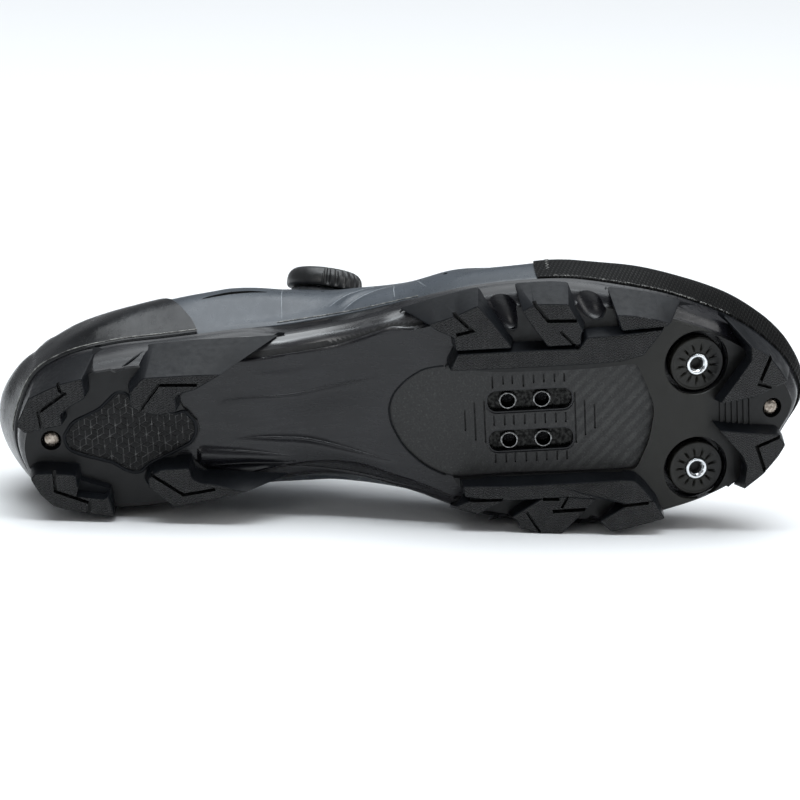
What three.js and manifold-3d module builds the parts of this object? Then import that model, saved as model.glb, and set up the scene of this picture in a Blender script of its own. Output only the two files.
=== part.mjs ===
// Off-road cycling shoe, right foot, with a lugged rubber tread, a two-slot cleat panel and a lace dial.
// Sizes are in millimetres. The shoe is worked out standing: +X lateral, -X medial, +Y heel to toe, +Z up,
// z = 0 the ground under the lugs. The finished shoe is then laid on its medial side.
import * as THREE from "three";
import { mergeVertices } from "three/addons/utils/BufferGeometryUtils.js";
import Module from "manifold-3d";

// ---------- driving sizes ----------
const GAP = 0.3; // room between touching pieces
const UPPER_WALL = 2.4; // synthetic shell with its lining
const OVERLAY = 0.9; // toe cap and heel counter skins
const LIP = 3.0; // ledge of the plate that carries the upper
const INSOLE_THICK = 3.0;
const TREAD_LAYER = 1.8; // rubber sheet under the plate, between the lugs
const TONGUE_THICK = 4.2;
const SLOT = { pitch: 14, width: 8.2, length: 28.5, y: 180.5 }; // two-bolt cleat slots
const NUT = { width: 34, length: 38, thick: 2.6, boss: 3.0, hole: 2.4, rows: [173.2, 184.7] };
const DISC = { recess: 10.6, radius: 9.3, thick: 2.6, eye: 3.8, insert: 3.5, bore: 1.9 };
const SCREW = { radius: 2.9, hole: 3.3, height: 1.8 };
const DIAL = { y: 111.8, knob: 13.4, knobTall: 7.0, base: 11.6, baseTall: 1.5, grip: 0.35, teeth: 18 };
const LACE_RADIUS = 0.8;
const LACE_LIFT = 2.1; // centre of the lace over the upper
const LACE_TURN = 2.4; // half its width where it turns in a guide
const HEEL_FAN_Y = 36; // rays fan out round the heel from here, and round the toe from TOE_FAN_Y
const TOE_FAN_Y = 212;

// Feather line, where the upper meets the sole, in plan.
const OUTLINE = [
  { y: 5.9, lateral: -3.2, medial: -3.2 },
  { y: 8.6, lateral: 8.6, medial: -14.2 },
  { y: 14.5, lateral: 19.3, medial: -22.2 },
  { y: 24, lateral: 24.7, medial: -27.0 },
  { y: 40, lateral: 28.2, medial: -29.4 },
  { y: 60, lateral: 29.7, medial: -29.0 },
  { y: 80, lateral: 30.9, medial: -26.2 },
  { y: 100, lateral: 31.7, medial: -23.6 },
  { y: 120, lateral: 34.3, medial: -24.4 },
  { y: 140, lateral: 38.7, medial: -29.8 },
  { y: 160, lateral: 43.2, medial: -37.4 },
  { y: 180, lateral: 45.1, medial: -41.7 },
  { y: 197, lateral: 44.8, medial: -43.2 },
  { y: 212, lateral: 41.7, medial: -42.9 },
  { y: 227, lateral: 37.1, medial: -40.8 },
  { y: 241, lateral: 30.6, medial: -37.7 },
  { y: 252, lateral: 24.1, medial: -33.2 },
  { y: 262, lateral: 15.9, medial: -25.6 },
  { y: 269, lateral: 8.0, medial: -16.0 },
  { y: 273, lateral: 0.6, medial: -9.6 },
  { y: 274.3, lateral: -4.6, medial: -4.6 },
];

// Heights of the sole along its length: tread face of the lugs, sheet between the lugs, feather line,
// thickness of the plate, and how far its bottom edge stands in from the feather line.
const SOLE = [
  { y: 0, tread: 0, sheet: 9, rim: 24, plate: 9, tuck: 4.2 },
  { y: 30, tread: 0, sheet: 9, rim: 23, plate: 9, tuck: 4.4 },
  { y: 60, tread: 0, sheet: 9, rim: 23.2, plate: 9, tuck: 5.4 },
  { y: 84, tread: 0, sheet: 12.2, rim: 24.6, plate: 8, tuck: 7.5 },
  { y: 110, tread: 0, sheet: 16, rim: 26, plate: 6, tuck: 8.4 },
  { y: 134, tread: 0, sheet: 12.2, rim: 23.6, plate: 6, tuck: 6.8 },
  { y: 150, tread: 0, sheet: 8, rim: 21, plate: 6, tuck: 6.2 },
  { y: 170, tread: 0, sheet: 7, rim: 19.2, plate: 6, tuck: 6.0 },
  { y: 200, tread: 0, sheet: 7, rim: 18.2, plate: 6, tuck: 5.8 },
  { y: 215, tread: 0.9, sheet: 7.9, rim: 19.4, plate: 6, tuck: 5.4 },
  { y: 230, tread: 3.1, sheet: 10.1, rim: 22.4, plate: 6, tuck: 5.0 },
  { y: 245, tread: 6.4, sheet: 13.4, rim: 26.0, plate: 6.4, tuck: 4.6 },
  { y: 260, tread: 10.6, sheet: 17.6, rim: 30.0, plate: 7, tuck: 4.2 },
  { y: 275, tread: 16, sheet: 23, rim: 33.6, plate: 7, tuck: 4.0 },
];

// Upper: a row for each section. Bulge and side are how far each flank stands out from the feather line at
// that height, shoulder is the share of the way from the feather line to the ridge.
const SECTIONS = [
  { y: 5.9, bulgeZ: 46, bulgeLat: 6.6, bulgeMed: 7.4, sideZ: 70, sideLat: 1.8, sideMed: 3.4, shoulderZ: 98, shoulder: 0.34 },
  { y: 14, bulgeZ: 45, bulgeLat: 0.8, bulgeMed: 6.2, sideZ: 69, sideLat: -6.4, sideMed: 3.0, shoulderZ: 98, shoulder: 0.46 },
  { y: 26, bulgeZ: 44, bulgeLat: 1.8, bulgeMed: 4.2, sideZ: 67, sideLat: -5.6, sideMed: 1.2, shoulderZ: 97, shoulder: 0.46 },
  { y: 40, bulgeZ: 43, bulgeLat: 4.0, bulgeMed: 3.4, sideZ: 66, sideLat: -4.4, sideMed: 0.6, shoulderZ: 96, shoulder: 0.4 },
  { y: 60, bulgeZ: 43, bulgeLat: 5.8, bulgeMed: 4.0, sideZ: 66, sideLat: -1.4, sideMed: 1.2, shoulderZ: 95, shoulder: 0.34 },
  { y: 80, bulgeZ: 44, bulgeLat: 6.4, bulgeMed: 6.2, sideZ: 68, sideLat: -1.6, sideMed: 3.2, shoulderZ: 94, shoulder: 0.36 },
  { y: 100, bulgeZ: 45, bulgeLat: 5.0, bulgeMed: 8.2, sideZ: 68, sideLat: -3.2, sideMed: 4.0, shoulderZ: 90, shoulder: 0.42 },
  { y: 120, bulgeZ: 43, bulgeLat: 1.8, bulgeMed: 8.4, sideZ: 63, sideLat: -4.6, sideMed: 3.4, shoulderZ: 81, shoulder: 0.46 },
  { y: 140, bulgeZ: 39, bulgeLat: 0.6, bulgeMed: 5.6, sideZ: 56, sideLat: -5.4, sideMed: 1.6, shoulderZ: 72, shoulder: 0.5 },
  { y: 160, bulgeZ: 35, bulgeLat: 1, bulgeMed: 3.6, sideZ: 50, sideLat: -4.8, sideMed: -1.6, shoulderZ: 64, shoulder: 0.52 },
  { y: 180, bulgeZ: 32, bulgeLat: 1, bulgeMed: 1.8, sideZ: 45, sideLat: -4.8, sideMed: -3.4, shoulderZ: 57, shoulder: 0.54 },
  { y: 200, bulgeZ: 31, bulgeLat: 1.8, bulgeMed: 1.6, sideZ: 43, sideLat: -3.8, sideMed: -3.8, shoulderZ: 53, shoulder: 0.54 },
  { y: 220, bulgeZ: 32, bulgeLat: 3, bulgeMed: 1.6, sideZ: 43, sideLat: -2.2, sideMed: -3.8, shoulderZ: 51, shoulder: 0.54 },
  { y: 240, bulgeZ: 35, bulgeLat: 3.8, bulgeMed: 1.6, sideZ: 44, sideLat: -1.2, sideMed: -3.6, shoulderZ: 50.5, shoulder: 0.5 },
  { y: 260, bulgeZ: 39, bulgeLat: 4, bulgeMed: 1.6, sideZ: 46, sideLat: -1, sideMed: -3.4, shoulderZ: 50.5, shoulder: 0.42 },
  { y: 274.3, bulgeZ: 41, bulgeLat: 2.2, bulgeMed: 1.6, sideZ: 46.6, sideLat: -2.8, sideMed: -2.8, shoulderZ: 50.5, shoulder: 0.34 },
];

// Ridge of the last over the instep and toes.
const RIDGE = [
  { y: 12, x: -2.5, z: 124 },
  { y: 60, x: -1, z: 122 },
  { y: 84, x: 0, z: 113 },
  { y: 100, x: 0.6, z: 106 },
  { y: 120, x: 1, z: 96 },
  { y: 140, x: 1.2, z: 85.5 },
  { y: 160, x: 1, z: 76 },
  { y: 180, x: 0, z: 68.5 },
  { y: 200, x: -1.4, z: 63 },
  { y: 220, x: -3, z: 59.4 },
  { y: 240, x: -4.4, z: 56.4 },
  { y: 265, x: -5, z: 53 },
];

const COLLAR = [
  { y: -30, z: 89 },
  { y: 2, z: 87.5 },
  { y: 12, z: 84 },
  { y: 26, z: 75.5 },
  { y: 42, z: 67 },
  { y: 58, z: 64 },
  { y: 72, z: 67.5 },
  { y: 83, z: 76.5 },
  { y: 90, z: 87 },
  { y: 95, z: 97 },
];
const COLLAR_FRONT_Y = 97;

const THROAT = [
  { y: 80, half: 19 },
  { y: 105, half: 17.5 },
  { y: 125, half: 15.5 },
  { y: 145, half: 13.2 },
  { y: 160, half: 10.4 },
  { y: 169, half: 6.8 },
  { y: 173.5, half: 1.2 },
];

const TONGUE = [
  { y: 86, half: 19 },
  { y: 92, half: 25 },
  { y: 110, half: 27 },
  { y: 135, half: 24 },
  { y: 160, half: 18.5 },
  { y: 178, half: 12 },
];

// Cleat panel: the part of the plate that the rubber leaves bare.
const PANEL = [
  { y: 133.2, lateral: 2.4, medial: -0.8 },
  { y: 136.2, lateral: 10.2, medial: -8.6 },
  { y: 143.5, lateral: 17.2, medial: -16.6 },
  { y: 153, lateral: 19.6, medial: -19.6 },
  { y: 176, lateral: 19.9, medial: -20.8 },
  { y: 216.6, lateral: 19.6, medial: -20.9 },
  { y: 220.4, lateral: 11.4, medial: -11.6 },
  { y: 222.8, lateral: 2.2, medial: -3.4 },
];

// Hexagon inlay in the heel.
const INLAY = [
  { y: 23.6, lateral: 2.4, medial: -2.6 },
  { y: 27.2, lateral: 6.1, medial: -4.7 },
  { y: 36.4, lateral: 9.9, medial: -7.6 },
  { y: 42.4, lateral: 15.4, medial: -11.2 },
  { y: 45.0, lateral: 15.6, medial: -12.7 },
  { y: 48.0, lateral: 12.4, medial: -12.0 },
  { y: 52.0, lateral: 10.6, medial: -9.3 },
  { y: 61.4, lateral: 7.2, medial: -5.4 },
  { y: 65.4, lateral: 6.6, medial: -3.4 },
  { y: 67.7, lateral: 2.6, medial: -0.4 },
];

// Lugs: tread face as sections along the shoe, inner and outer edge. Lead carries the root of a section forward
// up the flank, which gives the waist wings. Flare is how far the outer wall spreads out to the feather line.
const LUGS = {
  heel: [
    { flare: 3.4, top: 21, rows: [
      { y: 8.9, inner: 7.8, outer: 10.4 }, { y: 13.3, inner: 6.6, outer: 18.4 }, { y: 18, inner: 7.5, outer: 20.7 },
      { y: 23.8, inner: 8.6, outer: 22.9 }, { y: 24.2, inner: 12.3, outer: 23 }, { y: 28, inner: 15.3, outer: 23.9 },
      { y: 32.2, inner: 17.8, outer: 24.7 } ] },
    { flare: 5.0, top: 20, rows: [
      { y: 47.3, inner: 13.8, outer: 18.9 }, { y: 51.2, inner: 11.6, outer: 23 }, { y: 56.3, inner: 10.3, outer: 23.9 },
      { y: 62.2, inner: 11.2, outer: 23.9 }, { y: 62.6, inner: 16.4, outer: 23.9 }, { y: 69, inner: 18.6, outer: 23.8, lead: 8 },
      { y: 78.3, inner: 23.2, outer: 23.7, lead: 19 } ] },
    { flare: 3.6, top: 21, rows: [
      { y: 12, inner: -8.9, outer: -11 }, { y: 15, inner: -8.3, outer: -16.2 }, { y: 19, inner: -8.4, outer: -20.4 },
      { y: 26.9, inner: -9.5, outer: -22.5 }, { y: 27.3, inner: -13.9, outer: -22.7 }, { y: 37.4, inner: -17.6, outer: -24.9 },
      { y: 39.2, inner: -24.6, outer: -25.3 } ] },
    { flare: 4.4, top: 18, rows: [
      { y: 51.3, inner: -12.1, outer: -15.1 }, { y: 55.7, inner: -9.2, outer: -19.6 }, { y: 59.2, inner: -9.1, outer: -22.8 },
      { y: 65.2, inner: -9.1, outer: -22.3 }, { y: 65.6, inner: -12.9, outer: -22.2 }, { y: 74, inner: -15.5, outer: -20.8, lead: 5 },
      { y: 84.4, inner: -18.4, outer: -18.9, lead: 14 } ] },
  ],
  forefoot: [
    { flare: 0.8, top: 8.6, rows: [
      { y: 154.6, inner: 20.5, outer: 20.9 }, { y: 157, inner: 20.5, outer: 26.5 }, { y: 182, inner: 20.3, outer: 26.5 },
      { y: 198, inner: 20.3, outer: 25.6 }, { y: 211, inner: 20.5, outer: 27.4 }, { y: 219, inner: 22.1, outer: 28.4 },
      { y: 225.4, inner: 29.6, outer: 30.4 } ] },
    { flare: 3.4, top: 17.5, rows: [
      { y: 147.8, inner: 36.7, outer: 37.4, lead: -8 }, { y: 150.8, inner: 34.8, outer: 38.2, lead: -4 }, { y: 156.1, inner: 32.2, outer: 39.7 },
      { y: 157.1, inner: 26.2, outer: 40 }, { y: 164.5, inner: 26.6, outer: 43 }, { y: 169.5, inner: 26.8, outer: 35.8 },
      { y: 175, inner: 27, outer: 28.1 } ] },
    { flare: 3.4, top: 16.5, rows: [
      { y: 179, inner: 39.7, outer: 40.3 }, { y: 187, inner: 26.2, outer: 41.1 }, { y: 194.2, inner: 28.6, outer: 41.8 },
      { y: 199.2, inner: 31.9, outer: 32.6 } ] },
    { flare: 3.8, top: 17.5, rows: [
      { y: 210.5, inner: 36.2, outer: 37 }, { y: 212.1, inner: 31.2, outer: 36.6 }, { y: 226, inner: 29.6, outer: 33.1 },
      { y: 228.8, inner: 31.9, outer: 32.6 } ] },
    { flare: 0.8, top: 8.6, rows: [
      { y: 156.9, inner: -20.9, outer: -24.6 }, { y: 170, inner: -21.4, outer: -26.9 }, { y: 191, inner: -21.6, outer: -26.6 },
      { y: 210, inner: -21.6, outer: -29.1 }, { y: 214.7, inner: -22.3, outer: -29.7 }, { y: 217.8, inner: -25.7, outer: -30.1 },
      { y: 220.9, inner: -29.8, outer: -30.5 } ] },
    { flare: 4.0, top: 16, rows: [
      { y: 153.8, inner: -27.4, outer: -28.1 }, { y: 158.4, inner: -25.3, outer: -30 }, { y: 161.4, inner: -25.5, outer: -31.3 },
      { y: 165.6, inner: -25.9, outer: -29.1 }, { y: 169.7, inner: -26.1, outer: -27.3 } ] },
    { flare: 2.6, top: 17, rows: [
      { y: 172.7, inner: -32.6, outer: -33.2 }, { y: 175, inner: -31.7, outer: -36.9 }, { y: 182.5, inner: -26.6, outer: -39.4 },
      { y: 189.7, inner: -26, outer: -39.8 }, { y: 194.8, inner: -26.6, outer: -34.7 }, { y: 201.8, inner: -27.9, outer: -28.6 } ] },
    { flare: 2.4, top: 17.5, rows: [
      { y: 202.5, inner: -35.8, outer: -36.6 }, { y: 206.5, inner: -34, outer: -40.3 }, { y: 212.2, inner: -31, outer: -39.4 },
      { y: 221.4, inner: -30.8, outer: -37.9 }, { y: 224.9, inner: -36.6, outer: -37.3 } ] },
    { flare: 1.6, top: 26, rows: [
      { y: 245, inner: 1.5, outer: 2.1 }, { y: 255.7, inner: 2.1, outer: 15.1 }, { y: 256.1, inner: 2.1, outer: 20.3 },
      { y: 262, inner: 3.7, outer: 15.9 }, { y: 268.2, inner: 5.3, outer: 6 } ] },
    { flare: 4.2, top: 26, rows: [
      { y: 244.4, inner: -7.8, outer: -8.4 }, { y: 252.1, inner: -9.9, outer: -18.1 }, { y: 252.6, inner: -10, outer: -30.4 },
      { y: 259.3, inner: -11.6, outer: -26.2 }, { y: 264.5, inner: -12.8, outer: -20.7 }, { y: 267.3, inner: -16.2, outer: -17.4 } ] },
  ],
};

// Lace run: guides on the eyestays, from the dial down to the vamp.
const LACE_RUN = [
  { side: -1, y: 119, out: 4.6 },
  { side: 1, y: 134, out: 4.2 },
  { side: -1, y: 147, out: 4.0 },
  { side: 1, y: 159, out: 4.0 },
];
const GUIDE = { long: 10.4, wide: 7, tall: 4.8 };

// How the finished shoe lies: rolled on to its medial side, then levelled and turned.
const LIE = { roll: -80.807, pitch: 4.744, yaw: 0 };

const COLOUR = {
  plate: { color: 0x1d1d20, roughness: 0.38, metalness: 0.0 },
  rubber: { color: 0x17171a, roughness: 0.72, metalness: 0.0 },
  inlay: { color: 0x111113, roughness: 0.6, metalness: 0.0 },
  shell: { color: 0x42464e, roughness: 0.48, metalness: 0.05 },
  skin: { color: 0x1b1b1e, roughness: 0.4, metalness: 0.0 },
  fabric: { color: 0x1a1a1c, roughness: 0.9, metalness: 0.0 },
  steel: { color: 0xb9bcc0, roughness: 0.3, metalness: 1.0 },
  dark: { color: 0x151517, roughness: 0.5, metalness: 0.0 },
};

// ---------- helpers ----------
const wasm = await Module();
wasm.setup();
const { Manifold, Mesh } = wasm;

function solidFrom(positions, triangles) {
  const s = new Manifold(new Mesh({ numProp: 3, vertProperties: new Float32Array(positions), triVerts: new Uint32Array(triangles) }));
  if (s.volume() >= 0) return s;
  const turned = triangles.slice();
  for (let i = 0; i < turned.length; i += 3) [turned[i + 1], turned[i + 2]] = [turned[i + 2], turned[i + 1]];
  return new Manifold(new Mesh({ numProp: 3, vertProperties: new Float32Array(positions), triVerts: new Uint32Array(turned) }));
}

function solidOf(geometry) {
  const bare = geometry.clone();
  for (const key of Object.keys(bare.attributes)) if (key !== "position") bare.deleteAttribute(key);
  const merged = mergeVertices(bare.index ? bare.toNonIndexed() : bare, 1e-4);
  return solidFrom([...merged.attributes.position.array], [...merged.index.array]);
}

function geometryOf(solid) {
  const m = solid.getMesh();
  const g = new THREE.BufferGeometry();
  const v = new Float32Array(m.numVert * 3);
  for (let i = 0; i < m.numVert; i++) v.set(m.vertProperties.subarray(i * m.numProp, i * m.numProp + 3), i * 3);
  g.setAttribute("position", new THREE.BufferAttribute(v, 3));
  g.setIndex(new THREE.BufferAttribute(new Uint32Array(m.triVerts), 1));
  g.computeVertexNormals();
  return g;
}

// Smooth value of one column of a table at y, with no overshoot between rows.
function column(rows, key) {
  const n = rows.length;
  const slope = [];
  for (let i = 0; i < n - 1; i++) slope.push((rows[i + 1][key] - rows[i][key]) / (rows[i + 1].y - rows[i].y));
  const tangent = rows.map((_, i) => {
    if (i === 0) return slope[0];
    if (i === n - 1) return slope[n - 2];
    const a = slope[i - 1], b = slope[i];
    return a * b <= 0 ? 0 : (2 * a * b) / (a + b);
  });
  return (y) => {
    if (y <= rows[0].y) return rows[0][key];
    if (y >= rows[n - 1].y) return rows[n - 1][key];
    let i = 0;
    while (y > rows[i + 1].y) i++;
    const h = rows[i + 1].y - rows[i].y, s = (y - rows[i].y) / h, s2 = s * s, s3 = s2 * s;
    return (2 * s3 - 3 * s2 + 1) * rows[i][key] + (s3 - 2 * s2 + s) * h * tangent[i] +
      (-2 * s3 + 3 * s2) * rows[i + 1][key] + (s3 - s2) * h * tangent[i + 1];
  };
}
const soleAt = Object.fromEntries(["tread", "sheet", "rim", "plate", "tuck"].map((k) => [k, column(SOLE, k)]));
const sectionAt = Object.fromEntries(Object.keys(SECTIONS[0]).slice(1).map((k) => [k, column(SECTIONS, k)]));
const ridgeX = column(RIDGE, "x"), ridgeZ = column(RIDGE, "z");
const covered = column([{ y: 84, v: 1 }, { y: 99, v: 0 }, { y: 131, v: 0 }, { y: 143, v: 1 }], "v");
const plateZ = (y) => soleAt.sheet(y) + TREAD_LAYER * covered(y);
const bedZ = (y) => plateZ(y) + soleAt.plate(y);

// Closed smooth curve through points, as a fine polyline (cubic, tangents from the chords on both sides).
function closedCurve(points, steps) {
  const n = points.length, out = [];
  const at = (i) => points[(i + n) % n];
  const dist = (a, b) => Math.hypot(a[0] - b[0], a[1] - b[1]);
  const tangent = (i) => {
    const a = at(i - 1), b = at(i), c = at(i + 1), h0 = dist(a, b), h1 = dist(b, c);
    return [0, 1].map((k) => (((b[k] - a[k]) / h0) * h1 + ((c[k] - b[k]) / h1) * h0) / (h0 + h1));
  };
  for (let i = 0; i < n; i++) {
    const a = at(i), b = at(i + 1), h = dist(a, b), ta = tangent(i), tb = tangent(i + 1);
    for (let j = 0; j < steps; j++) {
      const s = j / steps, s2 = s * s, s3 = s2 * s;
      out.push([0, 1].map((k) => (2 * s3 - 3 * s2 + 1) * a[k] + (s3 - 2 * s2 + s) * h * ta[k] + (-2 * s3 + 3 * s2) * b[k] + (s3 - s2) * h * tb[k]));
    }
  }
  return out;
}
const featherLine = closedCurve(
  [...OUTLINE.map((r) => [r.lateral, r.y]), ...OUTLINE.slice(1, -1).reverse().map((r) => [r.medial, r.y])], 24);

// Where a ray from c along d leaves the feather line, with the outward plan normal there.
function leave(c, d) {
  let best = null;
  const n = featherLine.length;
  for (let i = 0; i < n; i++) {
    const a = featherLine[i], b = featherLine[(i + 1) % n], ex = b[0] - a[0], ey = b[1] - a[1];
    const den = d[0] * ey - d[1] * ex;
    if (Math.abs(den) < 1e-9) continue;
    const t = ((a[0] - c[0]) * ey - (a[1] - c[1]) * ex) / den;
    const s = ((a[0] - c[0]) * d[1] - (a[1] - c[1]) * d[0]) / den;
    if (t > 0 && s >= 0 && s < 1 && (!best || t > best.t)) {
      const p = featherLine[(i - 1 + n) % n], q = featherLine[(i + 2) % n];
      const tx = q[0] - p[0], ty = q[1] - p[1], l = Math.hypot(tx, ty);
      let nx = ty / l, ny = -tx / l;
      if (nx * d[0] + ny * d[1] < 0) [nx, ny] = [-nx, -ny];
      best = { t, rim: [c[0] + t * d[0], c[1] + t * d[1]], out: [nx, ny] };
    }
  }
  return best;
}

// Stations round the shoe: from the heel along the lateral side to the toe and back along the medial side.
// Each station and its mirror share one point of the spine.
function stations(heel, waist, toe) {
  const half = [];
  const back = OUTLINE[0].y, tip = OUTLINE[OUTLINE.length - 1].y;
  for (let i = 0; i < heel; i++) half.push({ angle: (Math.PI / 2) * (i / heel), y: HEEL_FAN_Y, end: -1 });
  for (let i = 0; i <= waist; i++) half.push({ y: HEEL_FAN_Y + (TOE_FAN_Y - HEEL_FAN_Y) * (i / waist), end: 0 });
  for (let i = 1; i <= toe; i++) half.push({ angle: (Math.PI / 2) * (1 - i / toe), y: TOE_FAN_Y, end: 1 });
  const make = (h, side) => {
    const c = [ridgeX(h.y), h.y];
    const d = h.end === 0 ? [side, 0] : [side * Math.sin(h.angle), h.end * Math.cos(h.angle)];
    if (h.end !== 0 && Math.abs(d[0]) < 1e-9) d[0] = 1e-9;
    const hit = leave(c, d);
    const reach = h.end === 0 ? 0 : 0.72 * Math.cos(h.angle) * (h.end < 0 ? h.y - back : tip - h.y);
    const sy = h.y + h.end * reach;
    return { side, rim: hit.rim, out: hit.out, spine: [ridgeX(sy), sy], lead: Math.cos(h.angle ?? Math.PI / 2) };
  };
  const lateral = half.map((h) => make(h, 1)), medial = half.map((h) => make(h, -1));
  const ring = [...lateral, ...medial.slice(1, -1).reverse()];
  return ring;
}

// Closed body through loops of equal count. The first and the last loop are folded on to the spine.
function body(ring, loops) {
  const n = ring.length, m = n / 2, positions = [], triangles = [], start = [];
  const folded = (k) => k === 0 || k === loops.length - 1;
  loops.forEach((loop, k) => {
    start.push(positions.length / 3);
    for (let i = 0; i < (folded(k) ? m + 1 : n); i++) positions.push(...loop[i]);
  });
  const id = (k, i) => start[k] + (folded(k) ? Math.min(i % n, n - (i % n)) : i % n);
  for (let k = 0; k < loops.length - 1; k++)
    for (let i = 0; i < n; i++) {
      const a = id(k, i), b = id(k, i + 1), c = id(k + 1, i + 1), d = id(k + 1, i);
      if (a !== b && b !== c && a !== c) triangles.push(a, b, c);
      if (a !== c && c !== d && a !== d) triangles.push(a, c, d);
    }
  return solidFrom(positions, triangles);
}
const flat = (ring, inset, height) => ring.map((s) => [s.rim[0] - s.out[0] * inset(s.rim[1]), s.rim[1] - s.out[1] * inset(s.rim[1]), height(s.rim[1])]);
const spineAt = (ring, height) => ring.map((s) => [s.spine[0], s.spine[1], height(s.spine[1])]);

// One flank of the upper at a station: feather line, bulge, side, shoulder, ridge.
function flank(s) {
  const y = s.rim[1], lateral = (1 + s.side) / 2;
  const mixed = (a, b) => { const w = 0.5 + (lateral - 0.5) * Math.min(1, Math.abs(s.out[0]) * 1.6); return sectionAt[a](y) * w + sectionAt[b](y) * (1 - w); };
  const bulge = mixed("bulgeLat", "bulgeMed"), side = mixed("sideLat", "sideMed"), share = sectionAt.shoulder(y);
  return [
    [s.rim[0], s.rim[1], soleAt.rim(y)],
    [s.rim[0] + s.out[0] * bulge, s.rim[1] + s.out[1] * bulge, sectionAt.bulgeZ(y)],
    [s.rim[0] + s.out[0] * side, s.rim[1] + s.out[1] * side, sectionAt.sideZ(y)],
    [s.rim[0] + (s.spine[0] - s.rim[0]) * share, s.rim[1] + (s.spine[1] - s.rim[1]) * share, sectionAt.shoulderZ(y)],
    [s.spine[0], s.spine[1], ridgeZ(s.spine[1])],
  ];
}
// Point of a flank at t from 0, feather line, to 4, ridge.
function flankPoint(knots, t) {
  const n = knots.length, i = Math.min(n - 2, Math.floor(t)), s = t - i;
  const dist = (a, b) => Math.hypot(a[0] - b[0], a[1] - b[1], a[2] - b[2]);
  const tangent = (j) => {
    if (j === 0) { const h = dist(knots[0], knots[1]); return knots[1].map((v, k) => (v - knots[0][k]) / h); }
    if (j === n - 1) {
      const h = Math.hypot(knots[j][0] - knots[j - 1][0], knots[j][1] - knots[j - 1][1]);
      return [(knots[j][0] - knots[j - 1][0]) / h, (knots[j][1] - knots[j - 1][1]) / h, 0];
    }
    const a = knots[j - 1], b = knots[j], c = knots[j + 1], h0 = dist(a, b), h1 = dist(b, c);
    return [0, 1, 2].map((k) => (((b[k] - a[k]) / h0) * h1 + ((c[k] - b[k]) / h1) * h0) / (h0 + h1));
  };
  const a = knots[i], b = knots[i + 1], h = dist(a, b), ta = tangent(i), tb = tangent(i + 1), s2 = s * s, s3 = s2 * s;
  return [0, 1, 2].map((k) => (2 * s3 - 3 * s2 + 1) * a[k] + (s3 - 2 * s2 + s) * h * ta[k] + (-2 * s3 + 3 * s2) * b[k] + (s3 - s2) * h * tb[k]);
}

const sub = (a, b) => a.map((v, k) => v - b[k]);
const cross = (a, b) => [a[1] * b[2] - a[2] * b[1], a[2] * b[0] - a[0] * b[2], a[0] * b[1] - a[1] * b[0]];
const unit = (a) => { const l = Math.hypot(...a) || 1; return a.map((v) => v / l); };

// The last's skin as a grid of points with outward normals, and the same skin moved in or out.
function skin(ring, levels) {
  const n = ring.length, m = n / 2, knots = ring.map(flank);
  const grid = levels.map((t) => knots.map((k) => flankPoint(k, t)));
  const normals = grid.map((loop, k) => loop.map((_, i) => {
    if (k === 0) return [ring[i].out[0], ring[i].out[1], 0];
    if (k === grid.length - 1) {
      const j = Math.min(i, n - i), a = grid[k][Math.max(0, j - 1)], b = grid[k][Math.min(m, j + 1)], d = sub(b, a);
      const front = j >= m - 1, rear = j <= 1;
      return unit([0, -d[2] + (front ? 0.15 : 0) * d[1] + (rear ? -0.1 : 0) * d[1], d[1]]);
    }
    const along = sub(loop[(i + 1) % n], loop[(i - 1 + n) % n]), up = sub(grid[k + 1][i], grid[k - 1][i]);
    const v = unit(cross(along, up));
    return v;
  }));
  return { ring, grid, normals };
}
function skinBody(s, move, low) {
  const loops = s.grid.map((loop, k) => loop.map((p, i) => p.map((v, c) => v + s.normals[k][i][c] * move)));
  const foot = low === undefined ? (y) => soleAt.rim(y) + GAP : low;
  const first = loops[0].map((p, i) => [p[0], p[1], foot(s.ring[i].rim[1])]);
  const base = spineAt(s.ring, foot);
  const seat = s.ring.map((q, i) => [loops[0][i][0] - q.out[0] * (LIP + 1.5), loops[0][i][1] - q.out[1] * (LIP + 1.5), foot(q.rim[1])]);
  return low === undefined ? body(s.ring, [base, seat, first, ...loops.slice(1)]) : body(s.ring, [base, first, ...loops]);
}

// Prism between two outlines with the same count of corners.
function prism(low, high, zLow, zHigh) {
  const shape = low.map((p) => new THREE.Vector2(...p));
  const faces = THREE.ShapeUtils.triangulateShape(THREE.ShapeUtils.isClockWise(shape) ? shape.reverse() && shape : shape, []);
  const turned = THREE.ShapeUtils.area(low.map((p) => new THREE.Vector2(...p))) < 0;
  const a = turned ? [...low].reverse() : low, b = turned ? [...high].reverse() : high, n = a.length;
  const positions = [...a.flatMap((p) => [p[0], p[1], zLow]), ...b.flatMap((p) => [p[0], p[1], zHigh])], triangles = [];
  for (const [i, j, k] of faces) triangles.push(i, k, j, n + i, n + j, n + k);
  for (let i = 0; i < n; i++) { const j = (i + 1) % n; triangles.push(i, j, n + j, i, n + j, n + i); }
  return solidFrom(positions, triangles);
}
const rowsOutline = (rows, a, b, grow = 0) => [
  ...rows.map((r, i) => [r[a] + grow, r.y + (i === 0 ? -grow : i === rows.length - 1 ? grow : 0)]),
  ...rows.map((r, i) => [r[b] - grow, r.y + (i === 0 ? -grow : i === rows.length - 1 ? grow : 0)]).reverse()];

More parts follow.
